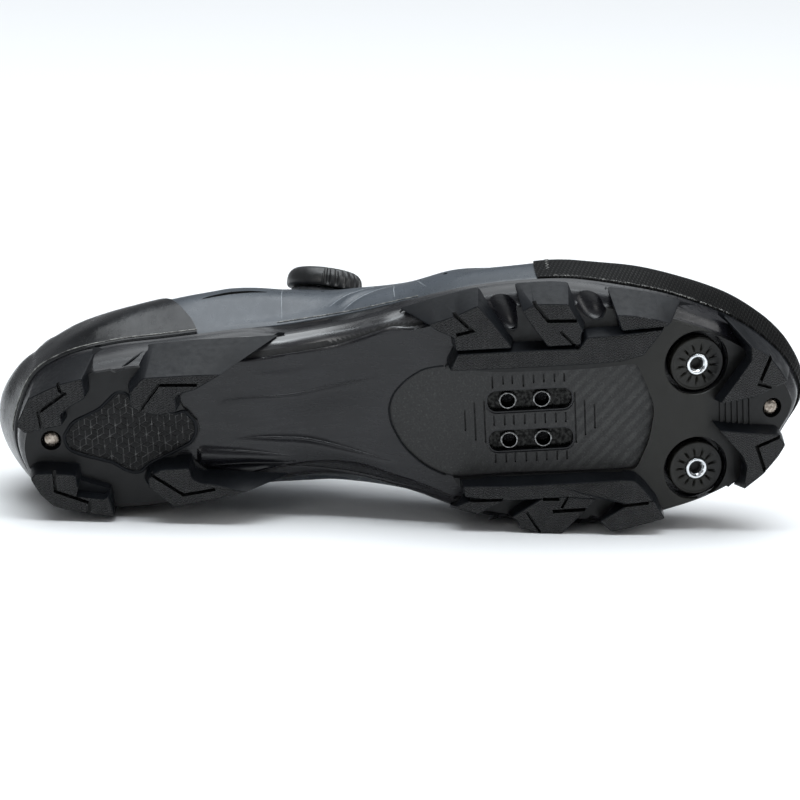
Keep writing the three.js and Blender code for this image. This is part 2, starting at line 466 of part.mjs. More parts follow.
// Everything between two heights that follow the shoe's length.
function between(low, high, from = -30, to = 300, step = 0) {
  const ys = [from];
  while (ys[ys.length - 1] < to) ys.push(Math.min(to, ys[ys.length - 1] + (step || (ys[ys.length - 1] < 196 ? 14 : 8))));
  const positions = [], triangles = [], id = (i, c) => i * 4 + c, n = ys.length;
  for (const y of ys) positions.push(-80, y, low(y), 80, y, low(y), 80, y, high(y), -80, y, high(y));
  for (let i = 0; i < n - 1; i++)
    for (let c = 0; c < 4; c++) {
      const a = id(i, c), b = id(i, (c + 1) % 4), d = id(i + 1, c), e = id(i + 1, (c + 1) % 4);
      triangles.push(a, b, e, a, e, d);
    }
  triangles.push(0, 2, 1, 0, 3, 2, id(n - 1, 0), id(n - 1, 1), id(n - 1, 2), id(n - 1, 0), id(n - 1, 2), id(n - 1, 3));
  return solidFrom(positions, triangles);
}

function lug(row) {
  const n = row.rows.length, side = Math.sign(row.rows[1].outer), low = [], high = [];
  const push = (r, key, i) => {
    const outward = key === "outer" ? row.flare : -1.3;
    low.push([r[key], r.y]);
    high.push([r[key] + side * outward, r.y + (i === 0 ? -1.3 : i === n - 1 ? 1.3 : 0) + (r.lead ?? 0)]);
  };
  row.rows.forEach((r, i) => push(r, "outer", i));
  [...row.rows].reverse().forEach((r, j) => push(r, "inner", n - 1 - j));
  return prism(low, high, 0, row.top);
}

function cylinder(radius, height, sides, at, axis = [0, 0, 1]) {
  const g = new THREE.CylinderGeometry(radius, radius, height, sides);
  const turn = new THREE.Quaternion().setFromUnitVectors(new THREE.Vector3(0, 1, 0), new THREE.Vector3(...unit(axis)));
  g.applyQuaternion(turn).translate(...at);
  return solidOf(g);
}
function lathe(profile, sides, at, axis) {
  const g = new THREE.LatheGeometry(profile.map((p) => new THREE.Vector2(...p)), sides);
  const turn = new THREE.Quaternion().setFromUnitVectors(new THREE.Vector3(0, 1, 0), new THREE.Vector3(...unit(axis)));
  g.applyQuaternion(turn).translate(...at);
  return solidOf(g);
}
function stadium(width, length, x, y, zLow, zHigh) {
  const pts = [], r = width / 2, half = length / 2 - r;
  for (let i = 0; i <= 8; i++) pts.push([x + r * Math.cos((Math.PI * i) / 8), y + half + r * Math.sin((Math.PI * i) / 8)]);
  for (let i = 0; i <= 8; i++) pts.push([x - r * Math.cos((Math.PI * i) / 8), y - half - r * Math.sin((Math.PI * i) / 8)]);
  return prism(pts, pts, zLow, zHigh);
}
const largest = (solid) => solid.decompose().sort((a, b) => b.volume() - a.volume())[0];

// ---------- sole ----------
const RING = stations(6, 12, 8);
const plateLoops = (grow) => [
  spineAt(RING, (y) => plateZ(y) - grow),
  flat(RING, (y) => soleAt.tuck(y) - grow, (y) => plateZ(y) - grow),
  flat(RING, (y) => soleAt.tuck(y) * 0.42 - grow, (y) => plateZ(y) + (soleAt.rim(y) - plateZ(y)) * 0.34 - grow * 0.5),
  flat(RING, () => 0.5 - grow, (y) => plateZ(y) + (soleAt.rim(y) - plateZ(y)) * 0.72),
  flat(RING, () => 0 - grow, (y) => soleAt.rim(y) + grow),
];
const plateBlank = body(RING, [...plateLoops(0), flat(RING, () => LIP, soleAt.rim), flat(RING, () => LIP + 0.6, bedZ), spineAt(RING, bedZ)]);
const plateRoom = body(RING, [...plateLoops(GAP), spineAt(RING, (y) => soleAt.rim(y) + GAP)]);

const discCentres = [{ name: "lateral", x: 14.6, y: 238.4 }, { name: "medial", x: -23.0, y: 236.9 }];
const slopeAt = (y) => (soleAt.sheet(y + 2) - soleAt.sheet(y - 2)) / 4;
const soleNormal = (y) => unit([0, slopeAt(y), -1]);
const onSheet = (x, y, deep) => { const n = soleNormal(y); return [x, y - n[1] * deep, soleAt.sheet(y) - n[2] * deep]; };

const slots = [-1, 1].map((s) => stadium(SLOT.width, SLOT.length, (s * SLOT.pitch) / 2, SLOT.y, 0, 30));
const pocketTop = bedZ(SLOT.y);
const boxSolid = (x0, x1, y0, y1, z0, z1) => prism([[x0, y0], [x1, y0], [x1, y1], [x0, y1]], [[x0, y0], [x1, y0], [x1, y1], [x0, y1]], z0, z1);
const nutPocket = boxSolid(-NUT.width / 2 - GAP, NUT.width / 2 + GAP, SLOT.y - NUT.length / 2 - GAP, SLOT.y + NUT.length / 2 + GAP, pocketTop - NUT.thick - GAP, 40);
let plate = plateBlank;
for (const s of slots) plate = plate.subtract(s);
plate = plate.subtract(nutPocket);
for (const d of discCentres) plate = plate.subtract(cylinder(DISC.radius + GAP, 8, 22, onSheet(d.x, d.y, 4 - 1.6 + DISC.thick - 0.6), soleNormal(d.y)));
const heelScrewAt = [0.1, 19.0], toeScrewAt = [-5.3, 263.5];
for (const [x, y] of [heelScrewAt, toeScrewAt]) plate = plate.subtract(cylinder(SCREW.hole, 4, 20, onSheet(x, y, TREAD_LAYER + 0.6), soleNormal(y)));

const footprint = prism(
  RING.map((s) => [s.rim[0] - s.out[0] * (soleAt.tuck(s.rim[1]) - 0.2), s.rim[1] - s.out[1] * (soleAt.tuck(s.rim[1]) - 0.2)]),
  RING.map((s) => [s.rim[0] - s.out[0] * (soleAt.tuck(s.rim[1]) - 0.9), s.rim[1] - s.out[1] * (soleAt.tuck(s.rim[1]) - 0.9)]), 0, 40);
const sheetBand = between(soleAt.sheet, (y) => plateZ(y) + 0.4);
const groundUp = between(soleAt.tread, () => 60);
const panelRoom = prism(rowsOutline(PANEL, "lateral", "medial"), rowsOutline(PANEL, "lateral", "medial"), -5, 60);
const inlayRoom = prism(rowsOutline(INLAY, "lateral", "medial", GAP), rowsOutline(INLAY, "lateral", "medial", GAP), -5, 60);

function tread(rows, from, to) {
  let t = footprint.intersect(sheetBand).intersect(boxSolid(-80, 80, from, to, -5, 60));
  for (const row of rows) t = t.add(lug(row).intersect(groundUp));
  return t.subtract(plateRoom);
}
let heelTread = tread(LUGS.heel, -20, 70).subtract(inlayRoom);
heelTread = largest(heelTread.subtract(cylinder(SCREW.hole, 20, 20, [heelScrewAt[0], heelScrewAt[1], 6], [0, 0, 1])));
let foreTread = tread(LUGS.forefoot, 147, 300).subtract(panelRoom);
for (const d of discCentres) foreTread = foreTread.subtract(cylinder(DISC.recess, 16, 24, onSheet(d.x, d.y, 0), soleNormal(d.y)));
foreTread = largest(foreTread.subtract(cylinder(SCREW.hole, 10, 20, onSheet(...toeScrewAt, 0), soleNormal(toeScrewAt[1]))));
const heelInlay = prism(rowsOutline(INLAY, "lateral", "medial"), rowsOutline(INLAY, "lateral", "medial"), 0, 60)
  .intersect(between((y) => soleAt.sheet(y) + 0.5, (y) => plateZ(y) - GAP));

// ---------- hardware in the sole ----------
let nutPlate = boxSolid(-NUT.width / 2, NUT.width / 2, SLOT.y - NUT.length / 2, SLOT.y + NUT.length / 2, pocketTop - NUT.thick, pocketTop - 0.1);
for (const side of [-1, 1])
  for (const y of NUT.rows) {
    const x = (side * SLOT.pitch) / 2;
    nutPlate = nutPlate.add(cylinder(NUT.boss, 3.4, 16, [x, y, pocketTop - NUT.thick - 0.9]));
    nutPlate = nutPlate.subtract(cylinder(NUT.hole, 20, 12, [x, y, pocketTop]));
  }
const ringProfile = (inner, outer, low, high, chamfer = 0.3) => [[inner, low], [outer, low], [outer, high - chamfer], [outer - chamfer, high], [inner, high], [inner, low]];
const discs = discCentres.map((d) => ({
  ...d,
  disc: lathe(ringProfile(DISC.eye, DISC.radius, -DISC.thick, 0.2), 22, onSheet(d.x, d.y, 1.0), soleNormal(d.y)),
  insert: lathe(ringProfile(DISC.bore, DISC.insert, -DISC.thick + 0.4, 1.2), 16, onSheet(d.x, d.y, 1.0), soleNormal(d.y)),
}));
const screwProfile = [[0, -SCREW.height], [SCREW.radius, -SCREW.height], [SCREW.radius, -0.5], [SCREW.radius * 0.72, 0.15], [1.35, 0.3], [1.25, -0.6], [0, -0.6]];
const screw = ([x, y]) => lathe(screwProfile, 14, onSheet(x, y, 0.2), soleNormal(y));

// ---------- upper ----------
const LEVELS = [0, 0.5, 1, 1.5, 2, 2.5, 3.05, 3.6, 4];
const last = skin(RING, LEVELS);
const collarCut = between(column(COLLAR, "z"), () => 200, -30, COLLAR_FRONT_Y, 4);
const throatOutline = [...THROAT.map((r) => [ridgeX(r.y) + r.half, r.y]), ...THROAT.map((r) => [ridgeX(r.y) - r.half, r.y]).reverse()];
const throatCut = prism(throatOutline, throatOutline, 48, 200);
const cavity = skinBody(last, -UPPER_WALL, (y) => soleAt.rim(y) - 8);
const upper = largest(skinBody(last, 0).subtract(cavity).subtract(collarCut).subtract(throatCut));

// Toe cap and heel counter: skins cut from the upper's own form, a little proud of it.
const overlayShell = skinBody(last, GAP + OVERLAY).subtract(skinBody(last, GAP, (y) => soleAt.rim(y) - 8));
const beyond = (rows, to) => { // plan area past a seam that runs from the medial to the lateral feather line
  const pts = [...rows.map((r) => [r.x, r.y]), [80, to], [-80, to]];
  return prism(pts, pts, 0, 200);
};
const TOE_SEAM = [{ x: -80, y: 214 }, { x: -44, y: 206 }, { x: -20, y: 226 }, { x: 0, y: 232 }, { x: 18, y: 223 }, { x: 42, y: 189 }, { x: 80, y: 170 }];
const COUNTER_SEAM = [{ y: 66.4, z: 20 }, { y: 65, z: 29 }, { y: 57.5, z: 47 }, { y: 48, z: 61 }, { y: 31, z: 74 }, { y: 12, z: 83 }];
const toeCap = largest(overlayShell.intersect(beyond(TOE_SEAM, 300)));
const counterSide = (() => { // side-view area behind the counter's seam
  const pts = [[-40, 0], ...COUNTER_SEAM.map((r) => [r.y, r.z]), [-40, 86]].map(([y, z]) => [y, z]);
  const p = prism(pts, pts, -80, 80); // drawn in y, z and extruded across
  return p.transform([0, 1, 0, 0, 0, 0, 1, 0, 1, 0, 0, 0, 0, 0, 0, 1]);
})();
const heelCounter = largest(overlayShell.intersect(counterSide).subtract(collarCut.translate([0, 0, -1.5])));

const tongueOutline = [...TONGUE.map((r) => [ridgeX(r.y) + r.half, r.y]), ...TONGUE.map((r) => [ridgeX(r.y) - r.half, r.y]).reverse()];
const tongue = largest(skinBody(last, -UPPER_WALL - 0.5, (y) => soleAt.rim(y)).subtract(skinBody(last, -UPPER_WALL - 0.5 - TONGUE_THICK, (y) => soleAt.rim(y) - 8))
  .intersect(prism(tongueOutline, tongueOutline, 46, 200)));

const insole = body(RING, [
  spineAt(RING, (y) => bedZ(y) + GAP), flat(RING, () => LIP + 1.2, (y) => bedZ(y) + GAP),
  flat(RING, () => LIP + 1.0, (y) => bedZ(y) + GAP + INSOLE_THICK), spineAt(RING, (y) => bedZ(y) + GAP + INSOLE_THICK)]);

// ---------- dial, guides and lace ----------
function stationOn(y, side) {
  const hit = leave([ridgeX(y), y], [side, 0]);
  return { side, rim: hit.rim, out: hit.out, spine: [ridgeX(y), y] };
}
// Point and outward normal of the last at height share t on one side.
function onUpper(y, side, t) {
  const at = (yy, tt) => flankPoint(flank(stationOn(yy, side)), tt);
  const p = at(y, t), along = sub(at(y + 1, t), at(y - 1, t)), up = sub(at(y, t + 0.02), at(y, t - 0.02));
  let n = unit(cross(along, up));
  if (n[0] * side < 0 && Math.abs(n[0]) > 0.2) n = n.map((v) => -v);
  if (n[2] < 0) n = n.map((v) => -v);
  return { p, n };
}
const dialSeat = onUpper(DIAL.y, 1, 2.52);
const dialAxis = unit([dialSeat.n[0], 0.17, dialSeat.n[2]]);
const along = (p, n, d) => p.map((v, k) => v + n[k] * d);
const grown = skinBody(last, GAP, (y) => soleAt.rim(y) - 8);
const dialBase = largest(lathe([[0, -8], [DIAL.base, -8], [DIAL.base, DIAL.baseTall - 0.5], [DIAL.base - 0.5, DIAL.baseTall], [0, DIAL.baseTall]], 28, dialSeat.p, dialAxis).subtract(grown));
const knobShape = (() => {
  const outline = [], n = DIAL.teeth * 2;
  for (let i = 0; i < n; i++) {
    const r = DIAL.knob - (i % 2 ? DIAL.grip * 2 : 0), a = (2 * Math.PI * i) / n;
    outline.push([r * Math.cos(a), r * Math.sin(a)]);
  }
  const shrink = (k) => outline.map(([x, y]) => [x * k, y * k]);
  const low = prism(shrink(0.98), outline, 0, 1.2).add(prism(outline, outline, 1.1, DIAL.knobTall - 1.6)).add(prism(outline, shrink(0.88), DIAL.knobTall - 1.7, DIAL.knobTall));
  return low;
})();
const placed = (solid, at, axis) => {
  const q = new THREE.Quaternion().setFromUnitVectors(new THREE.Vector3(0, 0, 1), new THREE.Vector3(...unit(axis)));
  const m = new THREE.Matrix4().compose(new THREE.Vector3(...at), q, new THREE.Vector3(1, 1, 1));
  return solid.transform(m.elements);
};
const dialKnob = placed(knobShape, along(dialSeat.p, dialAxis, DIAL.baseTall + GAP), dialAxis);

const guideSeats = LACE_RUN.map((g) => {
  const half = column(THROAT, "half")(g.y) + g.out, s = stationOn(g.y, g.side), knots = flank(s);
  let t = 4;
  while (t > 1 && Math.abs(flankPoint(knots, t)[0] - ridgeX(g.y)) < half) t -= 0.01;
  return { ...g, ...onUpper(g.y, g.side, t) };
});
// Point a little above the upper at plan position x, y.
function above(x, y, lift) {
  const side = x >= ridgeX(y) ? 1 : -1, knots = flank(stationOn(y, side));
  let t = 4;
  while (t > 1.2 && (flankPoint(knots, t)[0] - x) * side < 0) t -= 0.01;
  const s = onUpper(y, side, Math.min(t, 3.97));
  return along(s.p, s.n, lift);
}
const lacePath = (() => {
  const lift = LACE_LIFT, turn = LACE_TURN, pts = [];
  const toInside = unit(cross(dialAxis, [0, -1, 0]));
  const exit = along(along(dialSeat.p, dialAxis, 1.9), toInside, (toInside[0] < 0 ? 1 : -1) * (DIAL.base + 1.4));
  pts.push(exit);
  let from = exit;
  guideSeats.forEach((g, i) => {
    const inward = -g.side, enter = [g.p[0] + inward * 3.4, g.p[1] - turn];
    const reach = enter[0] - from[0];
    for (let k = 1; k <= 5; k++) pts.push(above(from[0] + (reach * k) / 6, from[1] + ((enter[1] - from[1]) * k) / 6, lift));
    pts.push(above(...enter, lift), along(along(g.p, g.n, lift), [inward, 0, 0], 0.4));
    if (i < guideSeats.length - 1) { from = above(g.p[0] + inward * 3.4, g.p[1] + turn, lift); pts.push(from); }
  });
  return new THREE.CatmullRomCurve3(pts.map((p) => new THREE.Vector3(...p)), false, "centripetal");
})();
const laceTube = (radius, sides) => {
  const shape = new THREE.Shape();
  for (let i = 0; i < sides; i++) {
    const a = (2 * Math.PI * i) / sides;
    if (i) shape.lineTo(radius * Math.cos(a), radius * Math.sin(a)); else shape.moveTo(radius, 0);
  }
  shape.closePath();
  return solidOf(new THREE.ExtrudeGeometry(shape, { steps: 50, bevelEnabled: false, extrudePath: lacePath }));
};
const lace = laceTube(LACE_RADIUS, 6);
const guides = guideSeats.map((g) => {
  const across = unit(cross([0, 1, 0], g.n)), forward = cross(g.n, across);
  const frame = (x, z) => new THREE.Matrix4().makeBasis(new THREE.Vector3(...across), new THREE.Vector3(...forward), new THREE.Vector3(...g.n))
    .setPosition(...along(along(g.p, across, x), g.n, z));
  const block = new THREE.BoxGeometry(GUIDE.wide, GUIDE.long, GUIDE.tall).applyMatrix4(frame(0, GUIDE.tall / 2 - 0.4));
  const mouth = new THREE.BoxGeometry(9.2, 2 * (LACE_TURN + LACE_RADIUS + 0.6), 2 * (LACE_RADIUS + 0.45)).applyMatrix4(frame(-g.side * 3.2, LACE_LIFT));
  return largest(solidOf(block).subtract(solidOf(mouth)).subtract(grown));
});

// ---------- the shoe ----------
const shoe = new THREE.Group();
function piece(name, solid, look) {
  const mesh = new THREE.Mesh(geometryOf(solid), new THREE.MeshStandardMaterial({ ...COLOUR[look], name: look }));
  mesh.name = name;
  shoe.add(mesh);
  return mesh;
}
piece("sole_plate", plate, "plate");
piece("heel_tread", heelTread, "rubber");
piece("forefoot_tread", foreTread, "rubber");
piece("heel_inlay", heelInlay, "inlay");
piece("cleat_nut_plate", nutPlate, "dark");
for (const d of discs) {
  piece("stud_disc_" + d.name, d.disc, "rubber");
  piece("stud_insert_" + d.name, d.insert, "steel");
}
piece("heel_screw", screw(heelScrewAt), "steel");
piece("toe_screw", screw(toeScrewAt), "steel");
piece("upper", upper, "shell");
piece("toe_cap", toeCap, "skin");
piece("heel_counter", heelCounter, "skin");
piece("tongue", tongue, "fabric");
piece("insole", insole, "fabric");
piece("dial_base", dialBase, "dark");
piece("dial_knob", dialKnob, "dark");
piece("lace", lace, "dark");
guides.forEach((g, i) => piece("lace_guide_" + (i + 1), g, "dark"));

// Laid on its medial side, sole to +X, toe to +Y, and centred over its own box on the floor.
const lying = new THREE.Group();
shoe.rotation.set(THREE.MathUtils.degToRad(LIE.pitch), THREE.MathUtils.degToRad(LIE.roll), THREE.MathUtils.degToRad(LIE.yaw), "XYZ");
lying.add(shoe);
lying.updateMatrixWorld(true);
const box = new THREE.Box3().setFromObject(lying, true);
const root = new THREE.Group();
lying.position.set(-(box.min.x + box.max.x) / 2, -(box.min.y + box.max.y) / 2, -box.min.z);
root.add(lying);
export default root;
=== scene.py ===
import math
import random
import bpy
import bmesh
import numpy as np
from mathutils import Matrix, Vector
from mathutils.bvhtree import BVHTree
from mathutils.geometry import tessellate_polygon

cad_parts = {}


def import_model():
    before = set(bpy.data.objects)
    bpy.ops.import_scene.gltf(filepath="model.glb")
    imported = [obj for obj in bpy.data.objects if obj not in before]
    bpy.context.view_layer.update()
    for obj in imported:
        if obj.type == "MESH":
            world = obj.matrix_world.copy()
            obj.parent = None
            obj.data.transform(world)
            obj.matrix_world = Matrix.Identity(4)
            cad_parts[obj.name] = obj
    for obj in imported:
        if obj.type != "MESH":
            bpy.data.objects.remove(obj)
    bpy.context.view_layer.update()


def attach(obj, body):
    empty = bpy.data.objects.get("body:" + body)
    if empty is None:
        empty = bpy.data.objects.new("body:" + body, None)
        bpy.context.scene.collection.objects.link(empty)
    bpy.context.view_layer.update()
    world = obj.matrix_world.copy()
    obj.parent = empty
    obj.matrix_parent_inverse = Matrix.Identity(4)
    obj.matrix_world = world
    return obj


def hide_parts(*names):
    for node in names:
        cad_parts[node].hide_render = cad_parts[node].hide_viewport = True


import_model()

random.seed(7)
np.random.seed(7)

# Everything is worked out in the standing shoe's frame, in millimetres (+X lateral, -X medial, +Y toe, +Z up),
# and put into the row frame, in metres, when a mesh is finished.
AX = np.array([0.15976058505298174, -0.08164158145736133, 0.9837739616602331])
AY = np.array([0.0, 0.9965741686886763, 0.08270384696296601])
AZ = np.array([-0.9871557908777767, -0.013212814976935716, 0.15921327223839177])
AT = np.array([50.36071104556529, -136.55309040430006, 23.667387439643772])


def world(p):
    p = np.asarray(p, float)
    return (p[..., 0:1] * AX + p[..., 1:2] * AY + p[..., 2:3] * AZ + AT) / 1000


# ---------------------------------------------------------------- camera, light, floor
CAM = np.array([417.66, 137.19, -1116.36])
BACK = np.array([math.sin(math.radians(20)), 0.0, -math.cos(math.radians(20))])
side0 = np.array([0.0, 1.0, 0.0]) - BACK * BACK[1]
side0 /= np.linalg.norm(side0)
top0 = np.cross(BACK, side0)
ROLL = math.radians(3)
RIGHT = math.cos(ROLL) * side0 - math.sin(ROLL) * top0
UP = math.sin(ROLL) * side0 + math.cos(ROLL) * top0


def turned(v):
    return v[0] * AX + v[1] * AY + v[2] * AZ


cam_data = bpy.data.cameras.new("camera")
cam_data.lens = 3560 / 800 * 36
cam_data.sensor_width = 36
cam_data.clip_end = 200
camera = bpy.data.objects.new("camera", cam_data)
bpy.context.scene.collection.objects.link(camera)
r_, u_, b_ = turned(RIGHT), turned(UP), turned(BACK)
where = world(CAM)
from mathutils import Matrix
camera.matrix_world = Matrix(((r_[0], u_[0], b_[0], where[0]), (r_[1], u_[1], b_[1], where[1]), (r_[2], u_[2], b_[2], where[2]), (0, 0, 0, 1)))
bpy.context.scene.camera = camera
scene = bpy.context.scene
scene.view_settings.view_transform = "Standard"
scene.view_settings.look = "None"
scene.view_settings.exposure = 0
scene.view_settings.gamma = 1

sky = bpy.data.worlds.new("studio")
scene.world = sky
sky.use_nodes = True
sky.node_tree.nodes["Background"].inputs[0].default_value = (0.93, 0.96, 1.0, 1)
sky.node_tree.nodes["Background"].inputs[1].default_value = 0.27


def area_light(name, at, to, size, power, size_y=None, colour=(1, 1, 1)):
    data = bpy.data.lights.new(name, "AREA")
    data.energy = power
    data.color = colour
    data.size = size
    if size_y:
        data.shape = "RECTANGLE"
        data.size_y = size_y
    o = bpy.data.objects.new(name, data)
    o.location = at
    o.rotation_euler = (Vector(to) - Vector(at)).to_track_quat("-Z", "Y").to_euler()
    scene.collection.objects.link(o)
    return o


area_light("strip", (0.42, 0.0, 1.25), (0, 0, 0.03), 1.8, 6.5, 0.2, (0.9, 0.96, 1.0))
area_light("key", (-0.35, 0.05, 1.5), (0, 0, 0.04), 1.3, 7, 2.4, (0.86, 0.94, 1.0))
area_light("front", (1.5, -0.5, 0.7), (0, 0, 0.03), 0.6, 2.4, 0.6, (1.0, 0.99, 0.97))
area_light("toe_side", (0.35, 1.3, 0.8), (0, 0.05, 0.03), 0.5, 5, 0.9)
sun_data = bpy.data.lights.new("broad", "SUN")
sun_data.energy = 2.5
sun_data.color = (0.95, 0.98, 1.0)
sun_data.angle = math.radians(65)
sun = bpy.data.objects.new("broad", sun_data)
sun.rotation_euler = (Vector((0, 0, 0)) - Vector((-0.14, 0.1, 1.0))).to_track_quat("-Z", "Y").to_euler()
scene.collection.objects.link(sun)


# ---------------------------------------------------------------- materials
class Look:
    """A node material. Coordinates come from the vertex attribute "s", the place in the shoe's own frame in millimetres."""

    def __init__(self, name, base, rough, metallic=0.0, spec=0.5, **more):
        self.m = bpy.data.materials.new(name)
        self.m.use_nodes = True
        self.t = self.m.node_tree
        self.b = self.t.nodes["Principled BSDF"]
        self.set("Base Color", (*base, 1))
        self.set("Roughness", rough)
        self.set("Metallic", metallic)
        self.set("Specular IOR Level", spec)
        for k, v in more.items():
            self.set(k.replace("_", " "), v)
        self.base, self.rough = base, rough
        at = self.t.nodes.new("ShaderNodeAttribute")
        at.attribute_name = "s"
        self.s = at.outputs["Vector"]
        self.normal = None

    def set(self, key, value):
        self.b.inputs[key].default_value = value

    def node(self, kind, ins=None, **props):
        n = self.t.nodes.new(kind)
        for k, v in props.items():
            setattr(n, k, v)
        for k, v in (ins or {}).items():
            if hasattr(v, "is_output"):
                self.t.links.new(v, n.inputs[k])
            else:
                n.inputs[k].default_value = v
        return n

    def math(self, op, a, b=0.0, c=None, clamp=False):
        ins = {0: a, 1: b}
        if c is not None:
            ins[2] = c
        n = self.node("ShaderNodeMath", ins, operation=op)
        n.use_clamp = clamp
        return n.outputs[0]

    def scaled(self, x, y, z):
        return self.node("ShaderNodeVectorMath", {0: self.s, 1: (x, y, z)}, operation="MULTIPLY").outputs[0]

    def noise(self, scale, detail=3.0, rough=0.5, vector=None, distortion=0.0):
        return self.node("ShaderNodeTexNoise", {"Vector": vector or self.s, "Scale": scale, "Detail": detail, "Roughness": rough, "Distortion": distortion}).outputs[0]

    def voronoi(self, vector, feature="F1", randomness=1.0, out=0, scale=1.0, smooth=None):
        n = self.node("ShaderNodeTexVoronoi", {"Vector": vector, "Scale": scale, "Randomness": randomness}, feature=feature)
        return n.outputs[out]

    def axes(self):
        n = self.node("ShaderNodeSeparateXYZ", {0: self.s})
        return n.outputs[0], n.outputs[1], n.outputs[2]

    def ramp(self, f, low, high, a=0.0, b=1.0, smooth=True):
        n = self.node("ShaderNodeMapRange", {0: f, 1: low, 2: high, 3: a, 4: b})
        n.interpolation_type = "SMOOTHSTEP" if smooth else "LINEAR"
        return n.outputs[0]

    def tint(self, f, a, b):
        n = self.node("ShaderNodeMix", {0: f, 6: (*a, 1), 7: (*b, 1)}, data_type="RGBA")
        self.t.links.new(n.outputs[2], self.b.inputs["Base Color"])
        self.last = n.outputs[2]
        return n.outputs[2]

    def over(self, f, colour, b):
        n = self.node("ShaderNodeMix", {0: f, 6: colour, 7: (*b, 1)}, data_type="RGBA")
        self.t.links.new(n.outputs[2], self.b.inputs["Base Color"])
        self.last = n.outputs[2]
        return n.outputs[2]

    def gloss(self, f, low, high, a, b):
        self.t.links.new(self.ramp(f, low, high, a, b), self.b.inputs["Roughness"])

    def bump(self, height, strength, mm):
        ins = {"Height": height, "Strength": strength, "Distance": mm / 1000}
        if self.normal is not None:
            ins["Normal"] = self.normal
        self.normal = self.node("ShaderNodeBump", ins).outputs[0]
        self.t.links.new(self.normal, self.b.inputs["Normal"])


def rubber_face():
    k = Look("rubber_tread", (0.012, 0.012, 0.0125), 0.5, spec=0.3)
    x, y, z = k.axes()
    drift = k.noise(0.22, 2)
    row = k.math("ADD", k.math("DIVIDE", x, 0.92), k.math("MULTIPLY", k.math("SINE", k.math("ADD", k.math("MULTIPLY", y, 3.75), k.math("MULTIPLY", drift, 9.0))), 0.3))
    wave = k.math("ABSOLUTE", k.math("SINE", k.math("MULTIPLY", row, 3.1416)))
    gate = k.ramp(k.noise(0.5, 2), 0.3, 0.6, 0.55, 1.0)
    height = k.math("MULTIPLY", k.math("POWER", wave, 0.8), gate)
    k.tint(k.ramp(k.noise(0.16, 4), 0.35, 0.7), (0.0105, 0.0106, 0.0112), (0.017, 0.0172, 0.0176))
    # Painted shade darkens the troughs of the scale texture, and a painted highlight lightens its crests in patches.
    k.over(k.ramp(height, 0.2, 0.0, 0, 0.75), k.last, (0.0035, 0.0035, 0.0038))
    k.over(k.math("MULTIPLY", k.ramp(height, 0.7, 0.95), k.ramp(k.noise(1.3, 3), 0.5, 0.75, 0.1, 0.7)), k.last, (0.034, 0.034, 0.035))
    k.gloss(height, 0.0, 1.0, 0.66, 0.42)
    k.bump(height, 1.0, 0.5)
    k.bump(k.noise(5.0, 3), 0.35, 0.08)
    return k.m


def rubber_wall():
    k = Look("rubber_wall", (0.01, 0.01, 0.012), 0.4, spec=0.13)
    k.tint(k.ramp(k.noise(0.07, 4), 0.35, 0.7), (0.0036, 0.0042, 0.0054), (0.0066, 0.0076, 0.0094))
    k.gloss(k.noise(0.5, 4), 0.3, 0.75, 0.33, 0.47)
    k.bump(k.noise(7.0, 3), 0.3, 0.06)
    k.bump(k.noise(0.5, 3), 0.25, 0.12)
    return k.m


def rubber_floor():
    k = Look("rubber_floor", (0.02, 0.02, 0.019), 0.36, spec=0.28)
    x, y, z = k.axes()
    # Painted highlight: the floor turns a lighter olive from y 196 to 226 and goes dark again past y 238.
    k.tint(k.ramp(y, 196, 226), (0.0035, 0.0036, 0.004), (0.011, 0.0107, 0.0088))
    k.over(k.ramp(y, 238, 246), k.last, (0.002, 0.002, 0.002))
    k.gloss(k.noise(0.4, 4), 0.3, 0.75, 0.3, 0.44)
    k.bump(k.noise(6.0, 3), 0.3, 0.05)
    return k.m


def plate_satin(name="plate_satin", spec=0.36, coat=0.05):
    k = Look(name, (0.006, 0.006, 0.007), 0.3, spec=spec, Coat_Weight=coat, Coat_Roughness=0.18)
    streak = k.noise(1.0, 3, vector=k.scaled(0.7, 0.06, 0.7))
    k.tint(k.ramp(k.noise(0.05, 3), 0.35, 0.7), (0.0035, 0.0035, 0.005), (0.0065, 0.0065, 0.0085))
    k.gloss(streak, 0.3, 0.75, 0.25, 0.37)
    k.bump(k.noise(9.0, 3), 0.3, 0.035)
    k.bump(streak, 0.18 if coat < 0.5 else 0.02, 0.1)
    return k.m


